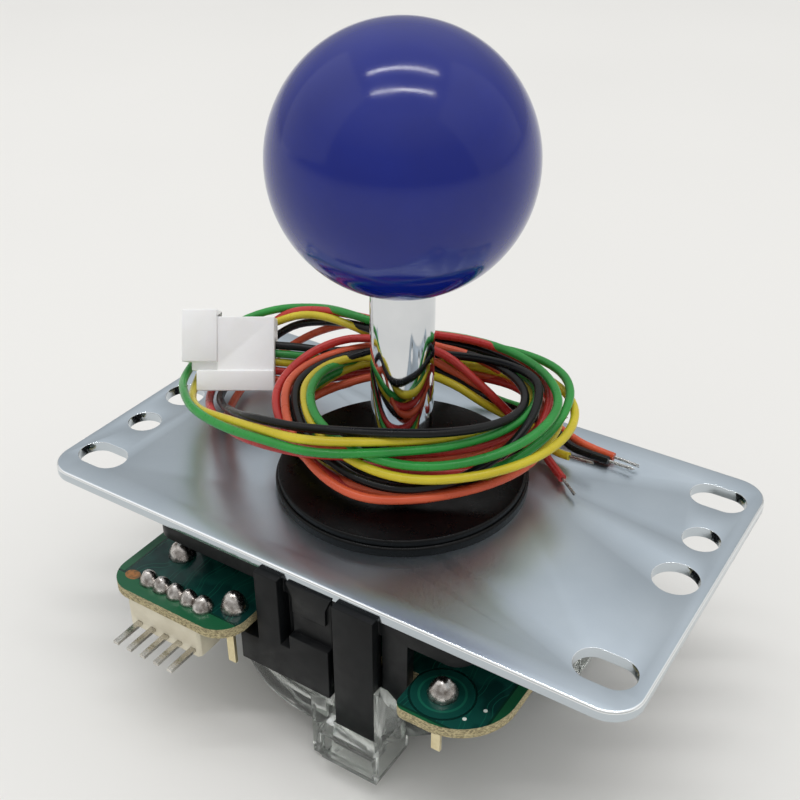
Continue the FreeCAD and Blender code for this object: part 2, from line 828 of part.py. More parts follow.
def make_connector_housing():
    """White nylon housing lying back on the loops, with a latch block, a lip and a mouth."""
    left = connector_right - connector_block_length
    latch_left = left - connector_latch_length
    inner = -connector_depth + connector_web_in
    main = leaning_block(left, connector_right, -connector_depth, 0, connector_block_bottom,
                         connector_block_top)
    latch = leaning_block(latch_left, left, -connector_depth, connector_latch_proud,
                          connector_latch_bottom, connector_latch_top)
    lip = leaning_block(connector_right - connector_lip_length, connector_right, inner,
                        connector_lip_proud, connector_lip_bottom, connector_block_bottom)
    web = leaning_block(left - connector_web_length, left, inner, -connector_web_in,
                        connector_block_bottom, connector_latch_bottom)
    middle = -connector_depth / 2
    rises = way_rises()
    mouth = leaning_block(connector_right - connector_mouth_depth, connector_right + 1,
                          middle - connector_mouth_half, middle + connector_mouth_half,
                          rises[-1] - connector_mouth_half, rises[0] + connector_mouth_half)
    return joined([main, latch, lip, web]).cut(mouth)


def make_connector_contacts():
    """The crimped contacts in the mouth, where the wires end."""
    middle = -connector_depth / 2
    return Part.makeCompound([
        leaning_block(connector_right - connector_mouth_depth, connector_right - contact_inset,
                      middle - connector_mouth_half, middle + connector_mouth_half,
                      rise - contact_half_height, rise + contact_half_height)
        for rise in way_rises()])


def oval_prism(centre, half, z0, z1):
    """An upright oval bar, drawn in the harness's own directions."""
    along, front = centre
    oval = Part.Ellipse(Vector(along, -front, z0), max(half), min(half)).toShape()
    return Part.Face(Part.Wire([oval])).extrude(Vector(0, 0, z1 - z0))


def make_harness_coil():
    """The outer shape of the loops that lie round the lever."""
    outer = oval_prism(coil_outer_centre, coil_outer_half, coil_bottom, coil_top)
    inner = oval_prism(coil_inner_centre, coil_inner_half, coil_bottom - 1, coil_top + 1)
    return harness_shape(outer.cut(inner))


# Routes of the wires where they are not coiled, from the housing's ways to the coil, round the
# connector on the far side, and from the coil to the stripped ends.
lead_routes = {
    "black": [connector_ways[0], (-17.0, -21.5, 10.0), (-12.5, -21.0, 9.5), (-8.5, -20.0, 10.0)],
    "green": [connector_ways[1], (-17.0, -20.5, 9.0), (-12.5, -21.0, 8.0), (-8.5, -20.0, 8.0)],
    "yellow": [connector_ways[2], (-17.0, -20.5, 7.5), (-12.5, -20.5, 6.5), (-8.5, -20.0, 6.5)],
    "red": [connector_ways[3], (-17.0, -20.0, 6.0), (-12.5, -20.5, 5.0), (-8.5, -20.0, 5.0)],
    "orange": [connector_ways[4], (-17.0, -19.5, 4.5), (-12.5, -20.0, 3.5), (-8.5, -20.0, 3.5)],
}

outer_routes = {
    "green": [(-12.0, 12.0, 12.0), (-19.5, 8.5, 11.3), (-25.5, 3.5, 11.0), (-31.0, -3.0, 10.0),
              (-33.5, -10.5, 8.5), (-35.0, -18.0, 6.0), (-34.0, -25.5, 5.5), (-29.0, -30.5, 9.0),
              (-21.5, -32.0, 12.5), (-13.5, -28.5, 15.0), (-7.5, -20.0, 16.0)],
    "yellow": [(-13.0, 10.5, 14.0), (-19.5, 6.5, 12.8), (-25.0, 1.5, 11.0), (-30.0, -4.0, 9.0),
               (-32.5, -11.0, 6.5), (-33.5, -18.5, 4.0), (-33.0, -26.0, 4.0), (-28.0, -30.0, 6.5),
               (-21.0, -30.0, 10.0), (-15.0, -26.5, 12.5), (-9.5, -19.5, 14.0)],
    "red": [(-12.0, 10.5, 10.0), (-19.0, 5.5, 9.0), (-24.0, 0.5, 7.5), (-27.5, -6.0, 6.0),
            (-30.0, -12.5, 3.5), (-31.5, -19.5, 1.7), (-30.5, -26.5, 2.0), (-25.5, -30.5, 5.0),
            (-19.5, -31.0, 9.5), (-13.0, -27.5, 12.5), (-6.5, -21.5, 15.0)],
    "black": [(-13.5, 8.5, 14.5), (-19.5, 4.5, 13.0), (-23.5, -1.0, 10.5), (-26.0, -6.5, 7.5),
              (-28.0, -13.0, 3.8), (-29.5, -20.0, 1.5), (-28.0, -27.0, 1.7), (-24.0, -30.5, 4.0),
              (-18.5, -30.0, 8.0), (-12.5, -26.0, 11.0), (-6.0, -20.0, 13.5)],
    "orange": [(-14.5, 8.5, 12.0), (-19.5, 2.5, 10.5), (-22.0, -3.0, 8.5), (-24.5, -8.0, 5.5),
               (-26.5, -14.0, 2.5), (-27.0, -20.5, 1.4), (-25.0, -27.0, 1.5), (-21.0, -29.5, 3.0),
               (-16.0, -28.5, 6.0), (-11.5, -25.5, 9.0), (-5.5, -20.0, 11.8)],
}

tail_routes = {
    "red": [(21.0, -5.0, 2.2), (22.0, -2.5, 1.6), (23.0, 0.5, 1.1), (23.5, 3.5, 0.9)],
    "yellow": [(22.5, -8.5, 2.4), (24.0, -6.0, 1.8), (25.5, -4.0, 1.6), (27.0, -2.0, 1.8)],
    "black": [(23.5, -10.0, 2.6), (25.0, -7.5, 1.4), (27.5, -5.5, 1.2), (30.0, -3.5, 1.3)],
    "orange": [(23.0, -12.0, 2.4), (25.5, -10.0, 1.5), (28.5, -7.5, 1.1), (31.5, -4.5, 1.3)],
    "green": [(10.0, -21.0, 3.0), (13.0, -22.0, 2.0), (16.0, -22.0, 1.0), (19.0, -21.0, 1.0)],
}


def make_wire(name, route):
    """One stretch of a wire along its route."""
    return round_tube(name, [harness_point(*place) for place in route], wire_d)


def make_bare_tip(route):
    """The stripped strands beyond the end of a wire's insulation."""
    before = harness_point(*route[-2])
    end = harness_point(*route[-1])
    heading = end - before
    heading.z = 0
    heading.normalize()
    return Part.makeCylinder(bare_d / 2, bare_length, end, heading)


def build_nodes():
    """Every piece of the joystick by node name."""
    pins = make_header_pins()
    terminals = make_switch_terminals()
    through_board = pins.Solids + terminals
    nodes = {
        "ball_top": make_ball_top(),
        "lever_shaft": make_lever_shaft(),
        "retaining_ring": make_retaining_ring(),
        "pivot_ball": make_pivot_ball(),
        "spring_bushing": make_spring_bushing(),
        "return_spring": make_return_spring(),
        "spring_seat": make_spring_seat(),
        "actuator": make_actuator(),
        "lower_dust_washer": make_washer(lower_washer_r, lower_washer_hole_r, 0,
                                         lower_washer_thickness),
        "upper_dust_washer": make_washer(upper_washer_r, upper_washer_hole_r,
                                         lower_washer_thickness + washer_gap, upper_washer_thickness),
        "mounting_plate": make_mounting_plate(),
        "main_body": make_main_body(),
        "body_screws": make_body_screws(),
        "circuit_board": make_circuit_board(),
        "solder_joints": make_solder_joints(through_board),
        "header_housing": make_header_housing(pins.Solids),
        "header_pins": pins,
        "switch_terminals": Part.makeCompound(terminals),
        "restrictor_gate": make_restrictor_gate(),
        "connector_housing": make_connector_housing(),
        "connector_contacts": make_connector_contacts(),
        "harness_coil": make_harness_coil(),
    }
    for side, degrees in quarter_turns.items():
        nodes[f"microswitch_{side}"] = spun(make_front_switch(), degrees)
        nodes[f"plunger_{side}"] = spun(make_front_plunger(), degrees)
    for name in wire_names:
        for stretch, routes in (("lead", lead_routes), ("outer_loop", outer_routes),
                                ("tail", tail_routes)):
            node = f"{stretch}_{name}"
            nodes[node] = make_wire(node, routes[name])
        nodes[f"bare_tip_{name}"] = make_bare_tip(tail_routes[name])
    return nodes


os.makedirs("parts", exist_ok=True)
for node, shape in build_nodes().items():
    shape.exportStep(f"parts/{node}.step")
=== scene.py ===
"""Arcade joystick lever: finishes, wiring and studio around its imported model.

Everything is in metres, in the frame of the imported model: the origin is the centre of the four
plate slots on the plate's top face, +Z up the lever, -Y the side that carries the pin header.
Names that end in _mm, the assemblies' fields and the wires' routes are in millimetres.
"""

import json
import logging
import math
import random
from dataclasses import dataclass
from enum import Enum
from typing import Sequence

import bmesh
import bpy
from mathutils import Matrix, Vector

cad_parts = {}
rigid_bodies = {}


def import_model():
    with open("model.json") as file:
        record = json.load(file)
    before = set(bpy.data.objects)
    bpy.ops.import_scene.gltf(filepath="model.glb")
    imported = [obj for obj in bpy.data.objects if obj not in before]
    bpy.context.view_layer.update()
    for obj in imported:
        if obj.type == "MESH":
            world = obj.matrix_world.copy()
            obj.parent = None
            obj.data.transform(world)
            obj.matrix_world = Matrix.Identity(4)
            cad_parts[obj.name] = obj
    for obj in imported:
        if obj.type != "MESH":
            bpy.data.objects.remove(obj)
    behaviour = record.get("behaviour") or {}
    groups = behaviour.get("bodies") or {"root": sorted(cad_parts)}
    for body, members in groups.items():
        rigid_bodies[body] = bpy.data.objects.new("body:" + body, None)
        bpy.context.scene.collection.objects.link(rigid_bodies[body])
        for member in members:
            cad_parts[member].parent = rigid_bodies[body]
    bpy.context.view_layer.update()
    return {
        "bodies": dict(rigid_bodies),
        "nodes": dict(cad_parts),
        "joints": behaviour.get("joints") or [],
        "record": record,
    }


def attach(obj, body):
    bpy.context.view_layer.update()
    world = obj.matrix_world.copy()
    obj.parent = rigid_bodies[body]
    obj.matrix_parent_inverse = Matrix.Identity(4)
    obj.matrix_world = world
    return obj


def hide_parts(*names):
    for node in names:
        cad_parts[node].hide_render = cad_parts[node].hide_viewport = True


logging.basicConfig(level=logging.INFO, format="%(message)s")
LOG = logging.getLogger("joystick")

MM = 0.001
BALL_Z = 48.8
FAR_TERMINAL = (22.1, -25.0)

Pair = tuple[float, float]
Place = tuple[float, float, float]
Tree = bpy.types.NodeTree
Socket = bpy.types.NodeSocket


# ---------------------------------------------------------------- node helpers
def linear(code: str) -> tuple[float, float, float, float]:
    """Turn an sRGB hex colour into linear RGBA.

    Args:
        code: six hex digits after a hash sign.

    Returns:
        The linear colour with full alpha.
    """
    channels = [int(code[i:i + 2], 16) / 255 for i in (1, 3, 5)]
    red, green, blue = (
        c / 12.92 if c <= 0.04045 else ((c + 0.055) / 1.055) ** 2.4 for c in channels
    )
    return red, green, blue, 1.0


def per_mm(size_mm: float) -> float:
    """Texture scale whose features are this many millimetres across."""
    return 1.0 / (size_mm * MM)


def set_inputs(tree: Tree, node: bpy.types.Node, inputs: dict) -> None:
    """Set a node's inputs.

    Args:
        tree: the tree that the node is in.
        node: the node.
        inputs: socket name or index to a value, or to the socket that feeds it.
    """
    for key, value in inputs.items():
        if isinstance(value, Socket):
            tree.links.new(value, node.inputs[key])
        else:
            node.inputs[key].default_value = value


def add_node(tree: Tree, kind: str, inputs: dict | None = None, **settings) -> bpy.types.Node:
    """Add one node, with its settings and its inputs.

    Args:
        tree: the tree that gets the node.
        kind: the node's type name.
        inputs: socket name or index to a value, or to the socket that feeds it.
        settings: attributes of the node.

    Returns:
        The new node.
    """
    node = tree.nodes.new(kind)
    for name, value in settings.items():
        setattr(node, name, value)
    set_inputs(tree, node, inputs or {})
    return node


def ramp(tree: Tree, factor: Socket, stops: Sequence[tuple[float, str]]) -> Socket:
    """A colour ramp fed by a factor.

    Args:
        tree: the tree that gets it.
        factor: the socket that drives it.
        stops: positions and sRGB colours.

    Returns:
        The ramp's colour socket.
    """
    node = add_node(tree, "ShaderNodeValToRGB", {0: factor})
    elements = node.color_ramp.elements
    while len(elements) < len(stops):
        elements.new(0.5)  # moved to its own place below
    for element, (position, colour) in zip(elements, stops):
        element.position = position
        element.color = linear(colour)
    return node.outputs["Color"]


def grey_ramp(tree: Tree, factor: Socket, low: float, high: float,
              start: float = 0.3, end: float = 0.7) -> Socket:
    """Map a factor from start..end to low..high."""
    node = add_node(tree, "ShaderNodeMapRange", {
        "Value": factor, "From Min": start, "From Max": end, "To Min": low, "To Max": high})
    return node.outputs["Result"]


def object_place(tree: Tree) -> Socket:
    """Where the surface is in the part's frame."""
    return add_node(tree, "ShaderNodeTexCoord").outputs["Object"]


def object_noise(tree: Tree, size_mm: float, detail: float = 3.0,
                 stretch: Place = (1.0, 1.0, 1.0)) -> Socket:
    """Noise in the part's own millimetres.

    Args:
        tree: the tree that gets it.
        size_mm: how large a blotch is.
        detail: octaves of finer noise.
        stretch: how the pattern is squeezed along each axis.

    Returns:
        The noise's factor socket.
    """
    placed = add_node(tree, "ShaderNodeMapping", {"Vector": object_place(tree), "Scale": stretch})
    pattern = add_node(tree, "ShaderNodeTexNoise", {
        "Vector": placed.outputs[0], "Scale": per_mm(size_mm), "Detail": detail})
    return pattern.outputs["Fac"]


def bumped(tree: Tree, height: Socket, depth_mm: float) -> Socket:
    """A normal from a height pattern of that many millimetres."""
    node = add_node(tree, "ShaderNodeBump", {
        "Height": height, "Distance": depth_mm * MM, "Strength": 1.0})
    return node.outputs["Normal"]


def upward(tree: Tree) -> Socket:
    """How far up the surface faces: 1 straight up, 0 sideways, -1 straight down."""
    normal = add_node(tree, "ShaderNodeNewGeometry").outputs["Normal"]
    return add_node(tree, "ShaderNodeSeparateXYZ", {0: normal}).outputs["Z"]


def worked_out(tree: Tree, operation: str, first: Socket, *others: Socket | float) -> Socket:
    """One step of arithmetic on one to three values."""
    inputs = dict(enumerate((first, *others)))
    return add_node(tree, "ShaderNodeMath", inputs, operation=operation).outputs[0]


def within(tree: Tree, value: Socket, middle: float, half: float) -> Socket:
    """1 where a value lies within half of the middle, else 0."""
    return worked_out(tree, "COMPARE", value, middle, half)


def distance_from(tree: Tree, spot_mm: Pair, squeeze: float = 1.0) -> Socket:
    """How far, in metres, the surface is from an upright line; its Y distance is squeezed."""
    x, y = spot_mm
    flat = add_node(tree, "ShaderNodeMapping", {
        "Vector": object_place(tree), "Location": (-x * MM, -y * MM * squeeze, 0.0),
        "Scale": (1.0, squeeze, 0.0)})
    return add_node(tree, "ShaderNodeVectorMath", {0: flat.outputs[0]},
                    operation="LENGTH").outputs["Value"]


def mixed_colour(tree: Tree, factor: Socket, below: Socket, above: Socket | str) -> Socket:
    """One colour over another by a factor; the upper one may be an sRGB code."""
    upper = linear(above) if isinstance(above, str) else above
    return add_node(tree, "ShaderNodeMix", {0: factor, 6: below, 7: upper},
                    data_type="RGBA").outputs[2]


# ---------------------------------------------------------------- finishes
@dataclass(frozen=True)
class Finish:
    """A material named for what the real one is."""

    name: str

    def material(self) -> bpy.types.Material:
        """The finish as a material, made once."""
        known = bpy.data.materials.get(self.name)
        if known:
            return known
        made = bpy.data.materials.new(self.name)
        made.use_nodes = True
        tree = made.node_tree
        set_inputs(tree, tree.nodes["Principled BSDF"], self.surface(tree))
        return made

    def surface(self, tree: Tree) -> dict:
        """Build the nodes and say which of them feed the shader's inputs."""
        raise NotImplementedError


@dataclass(frozen=True)
class MouldedPlastic(Finish):
    """Injection-moulded plastic: an even colour, a fine spark-eroded grain, handling marks.

    A real mould's grain is a few hundredths of a millimetre and wouldn't show, so it is drawn
    as coarse as each plastic's grain_mm says.
    """

    colour: str
    shade: str
    rough: float
    grain_mm: float = 0.25
    grain_depth_mm: float = 0.01
    blotch_mm: float = 7.0
    translucent: float = 0.0
    specular: float = 0.5

    # How far the gloss strays, how much finer its pattern is than the colour's, and how far
    # and in which tint light spreads in translucent plastic.
    GLOSS_RANGE = (0.8, 1.25)
    GLOSS_FINER = 3
    SPREAD_MM = 1.2
    SPREAD_TINT = (1.0, 0.9, 0.8)

    def surface(self, tree: Tree) -> dict:
        """Colour blotches, uneven gloss and a fine grain."""
        blotches = object_noise(tree, self.blotch_mm, detail=4.0)
        colour = ramp(tree, blotches, [(0.35, self.shade), (0.65, self.colour)])
        marks = object_noise(tree, self.blotch_mm / self.GLOSS_FINER, detail=5.0)
        glossy, dull = (self.rough * share for share in self.GLOSS_RANGE)
        return {
            "Base Color": colour,
            "Roughness": grey_ramp(tree, marks, glossy, dull),
            "Normal": bumped(tree, object_noise(tree, self.grain_mm, detail=2.0),
                             self.grain_depth_mm),
            "Specular IOR Level": self.specular,
            "Subsurface Weight": self.translucent,
            "Subsurface Radius": self.SPREAD_TINT,
            "Subsurface Scale": self.SPREAD_MM * MM,
        }


@dataclass(frozen=True)
class Metal(Finish):
    """Bare or plated metal: tinted reflections, uneven gloss and fine working marks.

    Real working marks are a few thousandths of a millimetre apart, so they are drawn as coarse
    as each metal's grain_mm says.
    """

    colour: str
    shade: str
    rough: float
    grain_mm: float = 0.4
    grain_depth_mm: float = 0.004
    blotch_mm: float = 9.0
    stretch: Place = (1.0, 1.0, 1.0)

    GLOSS_RANGE = (0.75, 1.3)

    def surface(self, tree: Tree) -> dict:
        """Tint blotches, uneven gloss and stretched working marks."""
        blotches = object_noise(tree, self.blotch_mm, detail=4.0)
        colour = ramp(tree, blotches, [(0.3, self.shade), (0.7, self.colour)])
        marks = object_noise(tree, self.grain_mm, stretch=self.stretch)
        glossy, dull = (self.rough * share for share in self.GLOSS_RANGE)
        return {
            "Base Color": colour,
            "Roughness": grey_ramp(tree, marks, glossy, dull),
            "Normal": bumped(tree, marks, self.grain_depth_mm),
            "Metallic": 1.0,
        }


@dataclass(frozen=True)
class ZincPlate(Finish):
    """Steel sheet, zinc plated and passivated: satin blue-grey with cloudy reflections.

    A painted highlight, a bright line where the lamps glint, is laid along the rolled top edge.
    The last four fields say how far up the surface faces on the rolled edge (middle and half
    range), on the cut sides and on the flat face, and how much smoother the edge is.
    """

    colour: str = "#c5d0d9"
    shade: str = "#b8c4ce"
    edge: str = "#c2cad0"
    # Painted highlight: a near-white colour laid on the rolled top edge, where the lamps glint.
    painted_highlight: str = "#f4f7f8"
    cloud_mm: float = 16.0
    grain_mm: float = 0.3
    grain_depth_mm: float = 0.0015
    rough: Pair = (0.29, 0.41)
    rolled: Pair = (0.55, 0.4)
    cut: Pair = (0.1, 0.2)
    flat: Pair = (0.9, 0.98)
    polish: float = 0.35

    def surface(self, tree: Tree) -> dict:
        """Clouds; a painted highlight on the rolled edge, another grey on the cut sides; both
        smoother.
        """
        clouds = object_noise(tree, self.cloud_mm, detail=4.0)
        colour = ramp(tree, clouds, [(0.3, self.shade), (0.7, self.colour)])
        facing = upward(tree)
        highlight_band = within(tree, facing, *self.rolled)
        on_side = grey_ramp(tree, facing, 1.0, 0.0, *self.cut)
        # The rolled top edge gets the painted highlight colour.
        colour = mixed_colour(tree, highlight_band, colour, self.painted_highlight)
        colour = mixed_colour(tree, on_side, colour, self.edge)
        grain = object_noise(tree, self.grain_mm)
        rough = grey_ramp(tree, grain, *self.rough)
        smoother = grey_ramp(tree, facing, self.polish, 1.0, *self.flat)
        return {
            "Base Color": colour,
            "Roughness": worked_out(tree, "MULTIPLY", rough, smoother),
            "Normal": bumped(tree, grain, self.grain_depth_mm),
            "Metallic": 1.0,
        }


@dataclass(frozen=True)
class SolderMask(Finish):
    """Glass-epoxy board: green lacquer over copper on its faces, bare laminate at its edges."""

    mask: str = "#0a3430"
    copper_under: str = "#11473f"
    track: str = "#165a4a"
    margin: str = "#1c5a3a"
    margin_line: str = "#0a3327"
    speck: str = "#e4ebe2"
    bare_copper: tuple[str, str] = ("#6e5230", "#a86f3c")
    laminate: tuple[str, str] = ("#7d7355", "#c4b78e")
    face_rough: float = 0.22
    edge_rough: float = 0.8
    # The glass cloth's threads lie about half a millimetre apart, and the lacquer dips between.
    fibre_mm: float = 0.35
    weave_mm: float = 0.6
    weave_depth_mm: float = 0.015
    blotch_mm: float = 5.0
    copper_grain_mm: float = 0.7
    half_mm: float = 31.1
    margin_mm: float = 1.5
    line_half_mm: float = 0.16
    track_spacing_mm: float = 9.0
    track_band: Pair = (0.86, 0.04)
    land_mm: float = 4.3
    rings: tuple[tuple[float, str], ...] = ((3.1, "#1b6250"), (4.4, "#062a25"))
    dot_at: Pair = (-28.1, -29.4)
    dot_mm: float = 1.25
    dot_squeeze: float = 1.3
    specks_at: tuple[Pair, ...] = ((28.2, -24.6), (26.6, -27.2))
    speck_mm: float = 0.28

    def face_colour(self, tree: Tree) -> Socket:
        """Lacquer over tracks, a lighter margin, rings round a joint and a bare copper dot."""
        wave = add_node(tree, "ShaderNodeTexWave", {
            "Vector": object_place(tree), "Scale": per_mm(self.track_spacing_mm),
            "Distortion": 6.0, "Detail": 1.0, "Detail Scale": 1.2})
        tracks = within(tree, wave.outputs["Fac"], *self.track_band)
        blotches = object_noise(tree, self.blotch_mm, detail=2.0)
        face = ramp(tree, blotches, [(0.45, self.mask), (0.55, self.copper_under)])
        face = mixed_colour(tree, tracks, face, self.track)
        face = self.with_margin(tree, face)
        from_joint = distance_from(tree, FAR_TERMINAL)
        land = within(tree, from_joint, 0.0, self.land_mm * MM)
        face = mixed_colour(tree, land, face, self.copper_under)
        for radius, shade in self.rings:
            line = within(tree, from_joint, radius * MM, self.line_half_mm * MM)
            face = mixed_colour(tree, line, face, shade)
        from_dot = distance_from(tree, self.dot_at, self.dot_squeeze)
        dot = within(tree, from_dot, 0.0, self.dot_mm * MM)
        dark, bright = self.bare_copper
        grain = object_noise(tree, self.copper_grain_mm)
        copper = ramp(tree, grain, [(0.4, dark), (0.6, bright)])
        face = mixed_colour(tree, dot, face, copper)
        for spot in self.specks_at:
            speck = within(tree, distance_from(tree, spot), 0.0, self.speck_mm * MM)
            face = mixed_colour(tree, speck, face, self.speck)
        return face

    def with_margin(self, tree: Tree, face: Socket) -> Socket:
        """Add the lighter margin along the board's sides, and the dark line that bounds it."""
        split = add_node(tree, "ShaderNodeSeparateXYZ", {0: object_place(tree)}).outputs
        inset = (self.half_mm - self.margin_mm) * MM
        for axis in ("X", "Y"):
            far = worked_out(tree, "ABSOLUTE", split[axis])
            outside = worked_out(tree, "GREATER_THAN", far, inset)
            face = mixed_colour(tree, outside, face, self.margin)
            line = within(tree, far, inset, self.line_half_mm * MM)
            face = mixed_colour(tree, line, face, self.margin_line)
        return face

    def surface(self, tree: Tree) -> dict:
        """The lacquered face on top, speckled fibrous laminate at the sides."""
        fibre = object_noise(tree, self.fibre_mm, stretch=(1.0, 1.0, 2.5))
        dark, bright = self.laminate
        edge = ramp(tree, fibre, [(0.4, dark), (0.58, bright)])
        level = worked_out(tree, "ABSOLUTE", upward(tree))
        is_face = worked_out(tree, "GREATER_THAN", level, 0.5)
        return {
            "Base Color": mixed_colour(tree, is_face, edge, self.face_colour(tree)),
            "Roughness": grey_ramp(tree, is_face, self.edge_rough, self.face_rough, 0.0, 1.0),
            "Normal": bumped(tree, object_noise(tree, self.weave_mm, detail=2.0),
                             self.weave_depth_mm),
        }


@dataclass(frozen=True)
class ClearResin(Finish):
    """Clear polycarbonate moulding: colourless, glossy, with faint flow marks."""

    colour: str = "#f3f6f4"
    shade: str = "#e9eeea"
    flow_mm: float = 4.0
    ripple_mm: float = 0.02
    rough: Pair = (0.06, 0.14)
    clear: float = 0.95
    # Polycarbonate's own is 1.58; with that the thin walls look darker than the real ones do.
    ior: float = 1.3

    def surface(self, tree: Tree) -> dict:
        """Light passes through; the surface ripples a little."""
        flow = object_noise(tree, self.flow_mm, detail=2.0)
        return {
            "Base Color": ramp(tree, flow, [(0.3, self.shade), (0.7, self.colour)]),
            "Roughness": grey_ramp(tree, flow, *self.rough),
            "Normal": bumped(tree, flow, self.ripple_mm),
            "Transmission Weight": self.clear,
            "IOR": self.ior,
        }


@dataclass(frozen=True)
class WireJacket(Finish):
    """Extruded PVC insulation: smooth and slightly waxy, with faint waves from the die."""

    colour: str
    shade: str
    specular: float = 0.4
    drift_mm: float = 6.0
    gloss_mm: float = 1.2
    wave_mm: float = 0.8
    wave_depth_mm: float = 0.015
    rough: Pair = (0.24, 0.38)

    def surface(self, tree: Tree) -> dict:
        """Slow colour drift, uneven gloss and shallow waves."""
        drift = object_noise(tree, self.drift_mm)
        return {
            "Base Color": ramp(tree, drift, [(0.35, self.shade), (0.65, self.colour)]),
            "Roughness": grey_ramp(tree, object_noise(tree, self.gloss_mm), *self.rough),
            "Normal": bumped(tree, object_noise(tree, self.wave_mm, detail=2.0),
                             self.wave_depth_mm),
            "Specular IOR Level": self.specular,
        }


# Phenolic resin, moulded and buffed: an even deep blue with sharp reflections.
BALL_RESIN = MouldedPlastic("ball_phenolic_blue", "#0c2080", "#0a1c77", 0.12, 0.5, 0.001, 12.0,
                            specular=0.46)
# Chrome over ground steel: nearly a mirror, with faint marks along the shaft.
CHROME = Metal("chrome_plated_steel", "#dcdee0", "#d2d5d8", 0.05, 0.3, 0.001, 6.0, (1, 1, 0.1))
# Drawn wire and stamped sheet: mid grey, half dull.
SPRING_STEEL = Metal("spring_steel", "#9da1a5", "#85898d", 0.3)
# Zinc-plated screws: pale grey, half dull.
SCREW_STEEL = Metal("zinc_screw_steel", "#b3b6ba", "#9a9ea2", 0.32)
# Tin over stamped brass: bright, slightly warm and mottled.
TIN = Metal("tinned_brass", "#dedbd4", "#bbb7af", 0.24, 0.3, 0.006, 2.5)
# Bare stamped brass: pale yellow, duller than the tin.
BLADE = Metal("pale_brass_terminal", "#efe3bf", "#d9cb9f", 0.4, 0.3, 0.004, 2.5)
# Solder that set in air: bright, with a wrinkled skin and darker marks of flux.
SOLDER = Metal("tin_lead_solder", "#e4e0dc", "#857d77", 0.24, 0.35, 0.04, 0.8)
# Tin over drawn copper: bright, thin and grey.
STRANDS = Metal("tinned_copper_strand", "#e4e4e2", "#a9a8a4", 0.26, 0.2, 0.004, 1.0)
# Moulded nylon inside the mechanism: off-white and waxy.
NYLON = MouldedPlastic("white_nylon", "#e9e9e4", "#dfdfda", 0.4, 0.5, 0.01, 8.0)
# Moulded ABS: black, half dull, with a fine even grain.
BLACK_BODY = MouldedPlastic("black_abs", "#0c0f11", "#090b0d", 0.42, 0.2, 0.008, 6.0,
                            specular=0.22)
# Acetal sheet, punched: black, a little glossy, faintly rubbed.
WASHER_PLASTIC = MouldedPlastic("black_acetal_sheet", "#090a0b", "#060708", 0.3, 0.5, 0.02, 5.0,
                                specular=0.18)
# Moulded phenolic switch cases: charcoal, half dull.
SWITCH_PLASTIC = MouldedPlastic("black_phenolic_switch", "#121416", "#0d0f10", 0.42, 0.2, 0.01,
                                4.0, specular=0.3)
# Moulded acetal plungers: dark red.
PLUNGER_PLASTIC = MouldedPlastic("red_acetal", "#8f2a22", "#7d231d", 0.35)
# Moulded nylon header: cream and dull.
CREAM_PLASTIC = MouldedPlastic("cream_nylon", "#e6dfc9", "#dbd3bc", 0.45, 0.3, 0.01, 3.0)
# Moulded nylon connector: pure white, and light goes a little way into it.
CONNECTOR_NYLON = MouldedPlastic("connector_white_nylon", "#ffffff", "#fafaf8", 0.36, 0.5, 0.006,
                                 5.0, translucent=0.15)
# The studio's floor, rolled paper: pale and dull.
PAPER = MouldedPlastic("pale_paper", "#ebeae7", "#e9e8e5", 0.8, 1.5, 0.002, 300.0)


class WireColour(Enum):
    """The five wires' jackets."""

    BLACK = WireJacket("pvc_black", "#0d0f10", "#08090a", 0.3)
    GREEN = WireJacket("pvc_green", "#2f9a40", "#288838")
    YELLOW = WireJacket("pvc_yellow", "#dac834", "#cbb92a")
    RED = WireJacket("pvc_red", "#c63a34", "#b5312d")
    ORANGE = WireJacket("pvc_orange_red", "#de6340", "#ce5636")


# ---------------------------------------------------------------- making pieces
def give_finish(piece: bpy.types.Object, finish: Finish) -> None:
    """Make a finish a piece's only material."""
    piece.data.materials.clear()
    piece.data.materials.append(finish.material())


def add_object(name: str, data: bpy.types.ID, finish: Finish | None = None) -> bpy.types.Object:
    """Put an object in the scene.

    Args:
        name: the object's name.
        data: its mesh, curve, lamp or camera.
        finish: its material, if it has just one.

    Returns:
        The new object.
    """
    piece = bpy.data.objects.new(name, data)
    bpy.context.scene.collection.objects.link(piece)
    if finish:
        give_finish(piece, finish)
    return piece


def smooth_by_angle(mesh: bpy.types.Mesh, degrees: float = 35.0) -> None:
    """Shade a mesh smooth, but keep edges sharp past an angle."""
    mesh.shade_smooth()
    mesh.set_sharp_from_angle(angle=math.radians(degrees))


def final_mesh(piece: bpy.types.Object) -> bpy.types.Mesh:
    """A new mesh of a piece as its modifiers or its curve's section make it."""
    evaluated = piece.evaluated_get(bpy.context.evaluated_depsgraph_get())
    return bpy.data.meshes.new_from_object(evaluated)


def apply_modifiers(piece: bpy.types.Object) -> None:
    """Turn a piece's modifiers into its mesh."""
    mesh = final_mesh(piece)
    piece.modifiers.clear()
    old = piece.data
    piece.data = mesh
    bpy.data.meshes.remove(old)
    mesh.name = piece.name


